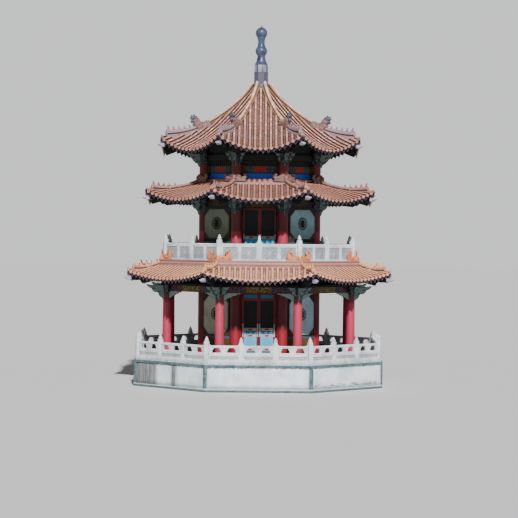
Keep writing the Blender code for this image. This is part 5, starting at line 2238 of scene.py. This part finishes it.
@dataclass(frozen=True)
class JoineryPaint(Finish):
    """Painted joinery, worn and rubbed, with a fine grain along it."""

    name: str
    main: Colour
    worn: Colour
    roughness: float = 0.5

    def recipe(self) -> bpy.types.Material:
        """The main colour, worn in patches, with grain."""
        r = Recipe(self.name, self.roughness, 0.35)
        cloud, fine = r.noise(4.0), r.noise(40.0)
        grain = r.noise(18.0, r.stretched(1.0, 1.0, 0.15))
        blend = cloud * 0.6 + fine * 0.4
        colour = r.layers(
            self.main, (r.ramp(blend, 0.48, 0.72) * 0.8, self.worn),
            (r.ramp(grain, 0.5, 0.8) * 0.25, self.worn),
        )
        return r.finish(colour, None, fine, 0.002)


@dataclass(frozen=True)
class MedallionPaint(Finish):
    """A light-blue board with a faint round floral medallion, drawn on the flow."""

    name: str
    ground: Colour
    mark: Colour
    edge: Colour

    def recipe(self) -> bpy.types.Material:
        """Rings and petals round the middle of the board; the flow is metres from it."""
        r = Recipe(self.name, 0.5, 0.35)
        x, y = r.flow()
        radius = r.math("SQRT", x * x + y * y)
        angle = r.math("ARCTAN2", y, x)
        petal = r.math("COSINE", angle * 8.0)
        petals = r.ramp(petal, -0.1, 0.3) * r.within(radius, 0.05, 0.15, 0.01)
        ring = r.within(radius, 0.165, 0.185, 0.005)
        heart = r.ramp(radius, 0.035, 0.025)
        fine = r.noise(30.0)
        share = r.math("MAXIMUM", r.math("MAXIMUM", petals, ring), heart)
        colour = r.layers(
            self.ground, (share * 0.6, self.mark), (r.ramp(fine, 0.55, 0.8) * 0.3, self.edge),
        )
        return r.finish(colour, None, fine, 0.002)


FRAME_RED = JoineryPaint("frame_red", paint(108, 20, 28), paint(70, 16, 22))
LATTICE_DARK = JoineryPaint("lattice_dark", paint(34, 44, 48), paint(20, 26, 29), 0.6)
# Near-black backing behind the lattices and the round windows' grilles: painted shade of the dark inside.
LATTICE_BACK = JoineryPaint("lattice_backing", paint(12, 15, 17), paint(20, 25, 27), 0.7)
BOARD_BLUE = JoineryPaint("board_blue", paint(30, 104, 140), paint(62, 130, 160))
BOARD_LIGHT = MedallionPaint(
    "board_light_blue", paint(66, 160, 198), paint(40, 112, 156), paint(116, 178, 200)
)
RAIL_BEIGE = JoineryPaint("rail_beige", paint(166, 156, 148), paint(120, 110, 104))
MEDALLION_RED = JoineryPaint("medallion_red", paint(176, 28, 36), paint(140, 26, 34))
COBALT = JoineryPaint("cobalt_board", paint(2, 72, 178), paint(12, 92, 190))
SLAT_GREEN = JoineryPaint("slat_green", paint(17, 21, 21), paint(9, 12, 12), 0.7)
OLIVE_CARVING = CarvedPaint(
    "olive_carving", paint(52, 42, 26), paint(28, 26, 21), paint(92, 72, 44)
)


class RowKind(Enum):
    """What fills one row of a door leaf."""

    RAIL = "rail"
    MEDALLION_RAIL = "medallion_rail"
    BOARD = "board"
    LIGHT_BOARD = "light_board"
    LATTICE = "lattice"


LEAF_FINISHES = (
    FRAME_RED, LATTICE_DARK, LATTICE_BACK, BOARD_BLUE, BOARD_LIGHT, RAIL_BEIGE, MEDALLION_RED,
)
RED, DARK, BACKING, BLUE, LIGHT_BLUE, BEIGE, MEDALLION = range(len(LEAF_FINISHES))
# How far a row's faces stand in from the leaf's, and its finish.
ROW_LOOKS = {
    RowKind.RAIL: (0.002, RED), RowKind.MEDALLION_RAIL: (0.002, BEIGE),
    RowKind.BOARD: (0.012, BLUE), RowKind.LIGHT_BOARD: (0.012, LIGHT_BLUE),
}


@dataclass
class LeafDesign:
    """A door leaf from its inner edge to its outer one, in rows from the bottom up."""

    rows: Sequence[tuple[float, float, RowKind]]
    low: float
    high: float
    plate_rows: Span
    width: float = 0.776
    stile: float = 0.085
    plane: float = 2.50
    thickness: float = 0.058
    meeting_gap: float = 0.004

    def bar(
        self, draft: Draft, u: Span, z: Span, depth: float, mark: int, chamfer: float = 0.006
    ) -> None:
        """A bar or board of the leaf; its flow is metres from its middle.

        Args:
            draft: Where it goes.
            u: Range along the side.
            z: Range up.
            depth: How far its two faces stand in from the leaf's.
            mark: Its finish.
            chamfer: Width of its cut edges.
        """
        half = self.thickness / 2 - depth
        rings = block_rings(u, (self.plane - half, self.plane + half), z, chamfer)
        flow = rings[..., ::2] - (sum(u) / 2, sum(z) / 2)
        draft.tube(rings, mark, flow)

    def lattice(self, draft: Draft, u: Span, z: Span) -> None:
        """A lattice of thin upright and level bars before a near-black backing, painted shade of the
        dark inside.

        Args:
            draft: Where it goes.
            u: Range along the side.
            z: Range up.
        """
        self.bar(draft, u, z, 0.022, BACKING)
        for middle in np.linspace(*u, 9)[1:-1]:
            self.bar(draft, (middle - 0.011, middle + 0.011), z, 0.008, DARK, 0.003)
        for middle in np.linspace(*z, int((z[1] - z[0]) / 0.085) + 1)[1:-1]:
            self.bar(draft, u, (middle - 0.009, middle + 0.009), 0.011, DARK, 0.003)

    def build(self) -> Draft:
        """The leaf to the right of the meeting line."""
        draft = Draft()
        near, far = self.meeting_gap, self.meeting_gap + self.width
        inner = (near + self.stile, far - self.stile)
        for start in (near, far - self.stile):
            end = start + self.stile
            self.bar(draft, (start, end), (self.low, self.high), 0.0, RED)
            self.bar(draft, (start + 0.006, end - 0.006), self.plate_rows, -0.004, BEIGE)
        for low, high, kind in self.rows:
            if kind is RowKind.LATTICE:
                self.lattice(draft, inner, (low, high))
                continue
            depth, mark = ROW_LOOKS[kind]
            self.bar(draft, inner, (low, high), depth, mark)
            if kind is RowKind.MEDALLION_RAIL:
                middle, size = sum(inner) / 2, min(0.13, high - low)
                spot, rows = (middle - 0.09, middle + 0.09), (low + 0.2 * size, high - 0.2 * size)
                self.bar(draft, spot, rows, -0.005, MEDALLION, 0.004)
        return draft


LOWER_LEAF = LeafDesign(
    (
        (1.350, 1.450, RowKind.RAIL), (1.450, 1.700, RowKind.BOARD),
        (1.700, 1.830, RowKind.MEDALLION_RAIL), (1.830, 2.350, RowKind.LIGHT_BOARD),
        (2.350, 2.490, RowKind.MEDALLION_RAIL), (2.490, 2.650, RowKind.BOARD),
        (2.650, 2.780, RowKind.MEDALLION_RAIL), (2.780, 4.040, RowKind.LATTICE),
        (4.040, 4.170, RowKind.RAIL), (4.170, 4.345, RowKind.BOARD), (4.345, 4.392, RowKind.RAIL),
    ),
    1.348, 4.392, (2.36, 2.98),
)
UPPER_LEAF = LeafDesign(
    (
        (5.952, 6.050, RowKind.RAIL), (6.050, 6.200, RowKind.BOARD),
        (6.200, 6.320, RowKind.MEDALLION_RAIL), (6.320, 6.980, RowKind.LIGHT_BOARD),
        (6.980, 7.110, RowKind.MEDALLION_RAIL), (7.110, 8.330, RowKind.LATTICE),
        (8.330, 8.398, RowKind.RAIL),
    ),
    5.951, 8.399, (6.95, 7.20),
)


@dataclass
class Doors:
    """All the doors: the two front leaves that turn, and the others that stay shut."""

    pivot: float = 0.78
    pin: float = 0.0138
    pin_reach: float = 0.045
    shut_step: float = 0.036

    def front_leaf(self, sign: float, hand: str) -> None:
        """A front leaf with its rounded pivot stile and its pins.

        Args:
            sign: -1 for the left one and 1 for the right one.
            hand: Left or right.
        """
        draft, pin = LOWER_LEAF.build(), self.pin
        half = LOWER_LEAF.thickness / 2 + 0.001
        low, high = LOWER_LEAF.low, LOWER_LEAF.high
        pivot = on_side(self.pivot, LOWER_LEAF.plane, 0.0)
        profile = ((half, low), (half, low + 0.01), (half, high - 0.01), (half, high))
        draft.tube(lathe(profile, 16) + pivot, RED)
        profile = ((pin, low - self.pin_reach), (pin, low), (pin, high), (pin, high + self.pin_reach))
        draft.tube(lathe(profile, 12) + pivot, DARK)
        leaf = Draft()
        leaf.include(draft, np.diag((sign, 1.0, 1.0)))
        make_piece(
            f"front_leaf_{hand}", leaf, LEAF_FINISHES, body=f"{hand}_leaf",
            nodes=[f"front_door_leaf_{hand}"],
        )

    def shut_pair(self, design: LeafDesign) -> Draft:
        """A shut pair of leaves with a strip over their meeting line, on the front side."""
        pair = design.build().mirrored()
        design.bar(pair, (-0.028, 0.028), (design.low, design.high), -0.006, RED)
        return pair

    def build(self) -> None:
        """Makes all the leaves."""
        self.front_leaf(-1.0, "left")
        self.front_leaf(1.0, "right")
        for side in DOOR_SIDES:
            name = SIDE_NAMES[side]
            shut = self.shut_pair(UPPER_LEAF).around([side])
            node = f"upper_doors_{name}"
            make_piece(f"upper_leaves_{name}", shut, LEAF_FINISHES, nodes=[node])
            if side:
                shut = self.shut_pair(LOWER_LEAF)
                shut.points = [points + on_side(0.0, self.shut_step, 0.0) for points in shut.points]
                shut = shut.around([side])
                make_piece(f"lower_leaves_{name}", shut, LEAF_FINISHES)


GRILLE_RED = JoineryPaint("grille_red", paint(72, 42, 34), paint(48, 32, 28), 0.6)
UPPER_BEAM_PAINT = BeamPainting(
    "upper_beam_painting", 8.44, 8.83, 0.34, 0.74, paint(28, 32, 22), paint(84, 66, 28),
    paint(16, 19, 21), paint(14, 46, 42), paint(18, 30, 62), paint(76, 22, 20),
    paint(60, 18, 18), paint(52, 46, 26),
)


def wall_block(half: float, faces: Span, z: Span, chamfer: float) -> Array:
    """A block across the middle of a door side, its faces counted from the wall's."""
    return block_rings((-half, half), (WALL_FACE + faces[0], WALL_FACE + faces[1]), z, chamfer)


@dataclass
class Walls:
    """What the walls carry: window rings and grilles, frames, beams and carved corners."""

    window_levels: Span = (3.415, 7.70)
    ring: float = 0.31
    hole: float = 0.21

    def window(self, draft: Draft, level: float) -> None:
        """A round window's stepped ring and the grille of bars in its opening.

        The ring is a section carried round a circle in the plane of the wall.

        Args:
            draft: Where it goes.
            level: The level of its middle.
        """
        angle = 2 * math.pi * np.arange(32) / 32
        hole, ring = self.hole - 0.002, self.ring + 0.002
        section = (
            (hole, -0.10), (hole, 0.045), (0.235, 0.062), (0.285, 0.062), (ring, 0.045), (ring, -0.05),
        )
        radius, depth = (np.array(section)[None, :, k] for k in (0, 1))
        u = radius * np.cos(angle)[:, None]
        z = level + radius * np.sin(angle)[:, None]
        face = WINDOW_WALL_FACE
        draft.tube(on_side(u, face + depth, z), 0, loop=True)
        # The near-black disc behind the grille is painted shade of the dark inside.
        disc = np.array(((0.21, -0.12), (0.21, -0.10), (0.18, -0.09), (0.02, -0.085)))
        around = angle[::2]
        reach, depth = disc[:, :1], disc[:, 1:]
        points = on_side(reach * np.cos(around), face + depth, level + reach * np.sin(around))
        draft.tube(points, 1)
        for offset in np.linspace(-0.135, 0.135, 5):
            reach = math.sqrt(self.hole**2 - offset**2)
            across, thin = (-reach, reach), (offset - 0.009, offset + 0.009)
            levels = tuple(level + value for value in thin)
            draft.tube(block_rings(across, (face - 0.06, face - 0.035), levels, 0.004), 2)
            levels = tuple(level + value for value in across)
            draft.tube(block_rings(thin, (face - 0.05, face - 0.025), levels, 0.004), 2)

    def clerestory(self) -> Draft:
        """The cobalt board, painted beam, slats and carved end pieces over the middle roof.

        The inner edge of an end piece is a fading sine of its height.
        """
        draft = Draft()
        draft.tube(wall_block(0.86, (-0.02, 0.035), (9.80, 10.06), 0.006), 0)
        draft.tube(wall_block(0.88, (-0.02, 0.075), (10.085, 10.41), 0.012), 1)
        for middle in np.linspace(-0.84, 0.84, 13):
            slat = wall_block(0.055, (-0.02, 0.03), (10.42, 10.72), 0.008)
            draft.tube(slat + (middle, 0.0, 0.0), 2)
        share = np.linspace(0.0, 1.0, 9)
        edge = 0.80 + 0.10 * np.sin(3 * math.pi * share) * (1.0 - share) - 0.10 * share
        wavy = np.stack((edge, 9.80 + 0.64 * share), -1)
        outline = np.concatenate((wavy, ((1.02, 10.44), (1.02, 9.80))))
        carving = Draft()
        carving.tube(plate_rings(outline, 0.10, 0.02, on_side_plate(WALL_FACE + 0.07)), 3)
        draft.include(carving.mirrored())
        return draft

    def build(self) -> None:
        """Makes the pieces that the walls carry, and paints the walls themselves."""
        windows = Draft()
        for level in self.window_levels:
            self.window(windows, level)
        finishes = (SLAT_GREEN, LATTICE_BACK, GRILLE_RED)
        make_piece("round_windows", windows.around(WINDOW_SIDES), finishes)
        finishes = (COBALT, CLERESTORY_PAINT, SLAT_GREEN, OLIVE_CARVING)
        make_piece("clerestory", self.clerestory().around(), finishes)
        beams = Draft()
        beams.tube(wall_block(0.97, (0.0, 0.19), (8.44, 8.83), 0.015), 0)
        beams.tube(wall_block(0.97, (0.0, 0.19), (10.73, 10.97), 0.015), 1)
        make_piece("wall_beams", beams.around(), (UPPER_BEAM_PAINT, SLAT_GREEN))
        lower = WallPainting(
            "lower_wall_painting", 2.446, 4.261, 2.28, paint(168, 192, 212), paint(158, 160, 142)
        )
        upper = WallPainting(
            "upper_wall_painting", 6.99, 8.36, 6.72, plaque_shaded=paint(114, 120, 106)
        )
        for side in WINDOW_SIDES:
            dress_node(f"lower_wall_{SIDE_NAMES[side]}", lower)
        dress_node("upper_walls", upper)
        dress_node("front_door_frame", FRAME_RED)
        for side in DOOR_SIDES[1:]:
            dress_node(f"lower_doorset_{SIDE_NAMES[side]}", FRAME_RED)


# Finial


@dataclass
class Finial:
    """The turned finial and the eight-sided block that it stands on."""

    apothem: float = 0.335
    block: Span = (14.33, 15.38)
    profile: Outline = (
        (0.285, 15.36), (0.300, 15.39), (0.300, 15.46), (0.262, 15.50), (0.236, 15.56),
        (0.205, 15.70), (0.188, 15.80), (0.196, 15.84), (0.240, 15.90), (0.276, 15.99),
        (0.287, 16.06), (0.276, 16.13), (0.235, 16.21), (0.200, 16.25), (0.200, 16.29),
        (0.172, 16.33), (0.163, 16.42), (0.165, 16.60), (0.190, 16.66), (0.205, 16.70),
        (0.200, 16.73), (0.250, 16.79), (0.282, 16.87), (0.287, 16.94), (0.272, 17.02),
        (0.230, 17.10), (0.160, 17.165), (0.080, 17.20), (0.038, 17.215), (0.034, 17.26),
        (0.018, 17.30), (0.001, 17.318),
    )

    def build(self) -> None:
        """Makes the finial in place of its node."""
        draft = Draft()
        draft.tube(lathe(self.profile, 40), 0)
        low, high = self.block
        a = self.apothem
        block = (
            (a, low), (a, 14.98), (a + 0.012, 14.99), (a + 0.012, 15.03), (a - 0.008, 15.04),
            (a - 0.008, 15.35), (a - 0.02, high),
        )
        draft.tube(octagon_rings(block).swapaxes(0, 1), 1)
        finishes = (FINIAL_GLAZE, FINIAL_BLOCK_GLAZE)
        make_piece("finial_dressed", draft, finishes, nodes=["finial"])


@dataclass(frozen=True)
class BlockGlaze(Finish):
    """The finial's block: glazed panels in two tints above, and fine upright ribs below."""

    name: str
    pink: Colour
    grey: Colour
    rib: Colour
    split_level: float

    def recipe(self) -> bpy.types.Material:
        """Tints by side above the split, and ribs along u below it."""
        r = Recipe(self.name, 0.45)
        u, _, z, side = r.octagon()
        fine = r.noise(26.0)
        odd = r.math("PINGPONG", side + 8.5, 1.0)
        tint = r.mix(r.ramp(u, -0.02, 0.02), self.pink, self.grey)
        ribs = r.math("PINGPONG", u * 22.0, 0.5)
        lower = r.mix(r.ramp(ribs, 0.1, 0.35), self.rib, self.grey)
        colour = r.layers(
            lower,
            (r.ramp(z, self.split_level - 0.01, self.split_level + 0.01), tint),
            (r.ramp(fine, 0.5, 0.8) * odd * 0.5, self.rib),
        )
        return r.finish(colour, None, fine, 0.004)


FINIAL_GLAZE = Glaze("finial_glaze_paint", paint(66, 78, 104), paint(34, 40, 56), 4.0, 0.32)
FINIAL_BLOCK_GLAZE = BlockGlaze(
    "finial_block_glaze", paint(134, 116, 134), paint(76, 82, 102), paint(58, 54, 70), 15.02
)

LOWER_RIDGE_GLAZE = RidgeGlaze(
    "lower_ridge_glaze", paint(208, 148, 116), paint(160, 106, 88), paint(70, 46, 46),
    paint(150, 110, 100), paint(214, 188, 166),
)
MIDDLE_RIDGE_GLAZE = RidgeGlaze(
    "middle_ridge_glaze", paint(178, 124, 106), paint(136, 94, 86), paint(52, 38, 40),
    paint(128, 98, 98), paint(190, 162, 146),
)
UPPER_RIDGE_GLAZE = RidgeGlaze(
    "upper_ridge_glaze", paint(232, 196, 170), paint(160, 116, 104), paint(50, 40, 44),
    paint(126, 98, 66), paint(204, 180, 160), paint(140, 116, 122), 2.95,
)
ORANGE_FIGURES = Glaze("orange_figure_glaze", paint(232, 178, 74), paint(190, 112, 60), 9.0)
BROWN_FIGURES = Glaze("brown_figure_glaze", paint(150, 100, 86), paint(84, 62, 62), 9.0)
ORANGE_CURLS = Glaze("orange_curl_glaze", paint(214, 130, 84), paint(140, 78, 58), 8.0, 0.5, 0.016)
MAUVE_CURLS = Glaze("mauve_curl_glaze", paint(172, 138, 142), paint(104, 82, 90), 8.0, 0.5, 0.016)
MAUVE_FIGURES = Glaze("mauve_figure_glaze", paint(140, 120, 126), paint(84, 70, 78), 9.0)
BROWN_CURLS = Glaze("brown_curl_glaze", paint(126, 94, 84), paint(72, 52, 48), 7.0, 0.5, 0.016)
NECK_GLAZE = Glaze("beast_neck_glaze", paint(136, 104, 94), paint(84, 64, 64), 7.0, 0.5, 0.014)
HEAD_GLAZE = Glaze("beast_head_glaze", paint(92, 88, 102), paint(44, 42, 52), 8.0, 0.5, 0.014)


LOWER_HIPS = HipRidges(
    LOWER_ROOF, 5.02, LOWER_ROOF.tip[0] - 0.98, 1.05, 5, ORANGE_FIGURES, LOWER_RIDGE_GLAZE,
    figure_step=0.29,
)
LOWER_WALL_RIDGE = WallRidge(
    band_profile(4.62, 4.78, 5.57, 5.975, (4.90, 5.70)),
    BandGlaze(
        "lower_band_glaze", paint(132, 98, 96), paint(150, 114, 112), paint(102, 74, 76),
        paint(132, 100, 102), 5.57, 5.975, paint(190, 124, 98),
    ),
    ORANGE_CURLS, MAUVE_CURLS, 4.61, 5.96, 0.49, 0.07, 0.56, 0.088,
)
MIDDLE_HIPS = HipRidges(
    MIDDLE_ROOF, 3.05, MIDDLE_ROOF.tip[0] - 1.15, 1.12, 5, BROWN_FIGURES, MIDDLE_RIDGE_GLAZE,
    swell=0.2,
)
MIDDLE_WALL_RIDGE = WallRidge(
    band_profile(2.60, 2.76, 9.50, 9.815, (3.00, 9.615)),
    BandGlaze(
        "middle_band_glaze", paint(158, 114, 108), paint(168, 128, 122), paint(112, 78, 76),
        paint(124, 90, 80), 9.50, 9.815, paint(166, 120, 112),
    ),
    BROWN_CURLS, BROWN_CURLS, 2.93, 9.76, 0.50, 0.06, 0.50, 0.105,
    (
        (0.0, 0.34), (0.25, 0.34), (0.5, 0.20), (0.75, 0.12), (0.96, 0.22), (1.0, 0.42),
        (0.86, 0.50), (0.78, 0.38),
    ),
    ((0.0, 0.18), (0.2, 0.42), (0.34, 0.36), (0.3, 0.24)),
    ((-0.2, -0.2), (-0.2, 0.42), (0.1, 0.44), (0.4, 0.22), (0.9, 0.20), (1.0, -0.2)),
)
UPPER_HIPS = HipRidges(
    UPPER_ROOF, 0.36, 3.02, 1.12, 5, MAUVE_FIGURES, UPPER_RIDGE_GLAZE, 1.05, 0.17, apex_rise=0.24
)


@dataclass
class Ridges:
    """Every ridge of the three roofs."""

    collar: Outline = ((0.345, 14.24), (0.345, 14.47), (0.375, 14.47), (0.395, 14.44), (0.395, 14.24))

    def build_skirt(self, name: str, hips: HipRidges, wall: WallRidge) -> None:
        """The ridges of a skirt roof as one piece in place of their node.

        Args:
            name: The node's name.
            hips: The ridges over the hips.
            wall: The ridge at the wall.
        """
        draft = hips.build_corner().around(varied=True)
        finishes = (hips.glaze, hips.figure_glaze, wall.glaze, wall.curl_glaze, wall.fin_glaze)
        ring = wall.build()
        ring.marks = [mark + 2 for mark in ring.marks]
        draft.include(ring)
        make_piece(f"{name}_dressed", draft, finishes, nodes=[name])

    def build(self) -> None:
        """Makes the ridges of all three roofs."""
        self.build_skirt("lower_roof_ridges", LOWER_HIPS, LOWER_WALL_RIDGE)
        self.build_skirt("middle_roof_ridges", MIDDLE_HIPS, MIDDLE_WALL_RIDGE)
        corner = UPPER_HIPS.build_corner()
        heads = UpperRidgeHeads(UPPER_ROOF).build_head()
        heads.marks = [mark + 1 for mark in heads.marks]
        corner.include(heads)
        draft = corner.around(varied=True)
        draft.tube(octagon_rings(self.collar), 3, loop=True)
        finishes = (UPPER_RIDGE_GLAZE, MAUVE_FIGURES, NECK_GLAZE, HEAD_GLAZE)
        node = "upper_roof_ridges"
        make_piece(f"{node}_dressed", draft, finishes, nodes=[node])


# Studio


@dataclass
class Studio:
    """The camera, the lights and the floor."""

    distance: float = 92.46
    height: float = 7.20
    lens: float = 132.7
    sensor: float = 36.0
    roll: float = 0.01015
    shift: Span = (-0.001, -0.048)
    sun_elevation: float = 34.0
    sun_strength: float = 7.0
    sun_angle: float = 2.0
    sun_turn: float = 8.0
    horizon: float = 0.90
    zenith: float = 0.12
    band: Span = (0.16, 0.34)
    floor_radius: float = 340.0
    far_end: float = 900.0

    def build_camera(self) -> None:
        """Sets the camera level in front, with the photograph's slight roll."""
        data = bpy.data.cameras.new("camera")
        data.sensor_width = self.sensor
        data.lens = self.lens
        data.shift_x, data.shift_y = self.shift
        data.clip_end = self.far_end
        camera = bpy.data.objects.new("camera", data)
        camera.location = (0.0, -self.distance, self.height)
        camera.rotation_euler = (math.pi / 2, -self.roll, 0.0)
        bpy.context.scene.collection.objects.link(camera)
        bpy.context.scene.camera = camera

    def build_lights(self) -> None:
        """A soft sun from the front, a little to the right, and an even pale sky."""
        data = bpy.data.lights.new("sun", "SUN")
        data.energy = self.sun_strength
        data.angle = math.radians(self.sun_angle)
        data.color = (1.0, 0.99, 0.98)
        sun = bpy.data.objects.new("sun", data)
        sun.rotation_euler = (math.radians(90.0 - self.sun_elevation), 0.0, math.radians(self.sun_turn))
        bpy.context.scene.collection.objects.link(sun)
        world = bpy.data.worlds.new("sky")
        world.use_nodes = True
        tree = world.node_tree
        sky = tree.nodes["Background"]
        sky.inputs["Color"].default_value = (0.98, 0.99, 1.0, 1.0)
        place = tree.nodes.new("ShaderNodeTexCoord")
        split = tree.nodes.new("ShaderNodeSeparateXYZ")
        fade = tree.nodes.new("ShaderNodeMapRange")
        for socket, value in zip(list(fade.inputs)[1:5], (*self.band, self.horizon, self.zenith)):
            socket.default_value = value
        tree.links.new(place.outputs["Generated"], split.inputs[0])
        tree.links.new(split.outputs["Z"], fade.inputs[0])
        tree.links.new(fade.outputs[0], sky.inputs["Strength"])
        bpy.context.scene.world = world

    def build_floor(self) -> None:
        """A plain pale floor: a disc just under the podium."""
        draft = Draft()
        angle = 2 * math.pi * np.arange(64) / 64
        ring = self.floor_radius * np.stack((np.cos(angle), np.sin(angle), 0.0 * angle), -1)
        draft.tube(np.stack([ring + (0.0, 0.0, level) for level in (-0.4, -0.002)]))
        mesh = bpy.data.meshes.new("floor")
        faces = [face for group in draft.faces for face in group.tolist()]
        mesh.from_pydata(draft.points[0].tolist(), [], faces)
        r = Recipe("floor_paint", 0.9, 0.1)
        pale = r.mix(r.noise(0.2), paint(206, 206, 206), paint(210, 210, 210))
        mesh.materials.append(r.finish(pale))
        floor = bpy.data.objects.new("floor", mesh)
        bpy.context.scene.collection.objects.link(floor)

    def build(self) -> None:
        """Builds all of it."""
        self.build_camera()
        self.build_lights()
        self.build_floor()


def write_sizes() -> None:
    """Updates the view layer."""
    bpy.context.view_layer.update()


def main() -> None:
    """Builds the studio and dresses the pavilion from the ground up."""
    logging.basicConfig(level=logging.INFO, format="%(name)s %(message)s")
    Studio().build()
    dress_node("podium", StainedRender())
    PODIUM_BALUSTRADE.build()
    OUTER_COLUMNS.build()
    INNER_COLUMNS.build()
    OuterBeams().build()
    Walls().build()
    Doors().build()
    dress_node("balcony_slab", BALCONY_STONE)
    BALCONY_BALUSTRADE.build()
    for roof in (LOWER_ROOF, MIDDLE_ROOF, UPPER_ROOF):
        roof.build()
    Ridges().build()
    Finial().build()
    write_sizes()


if __name__ == "__main__":
    main()
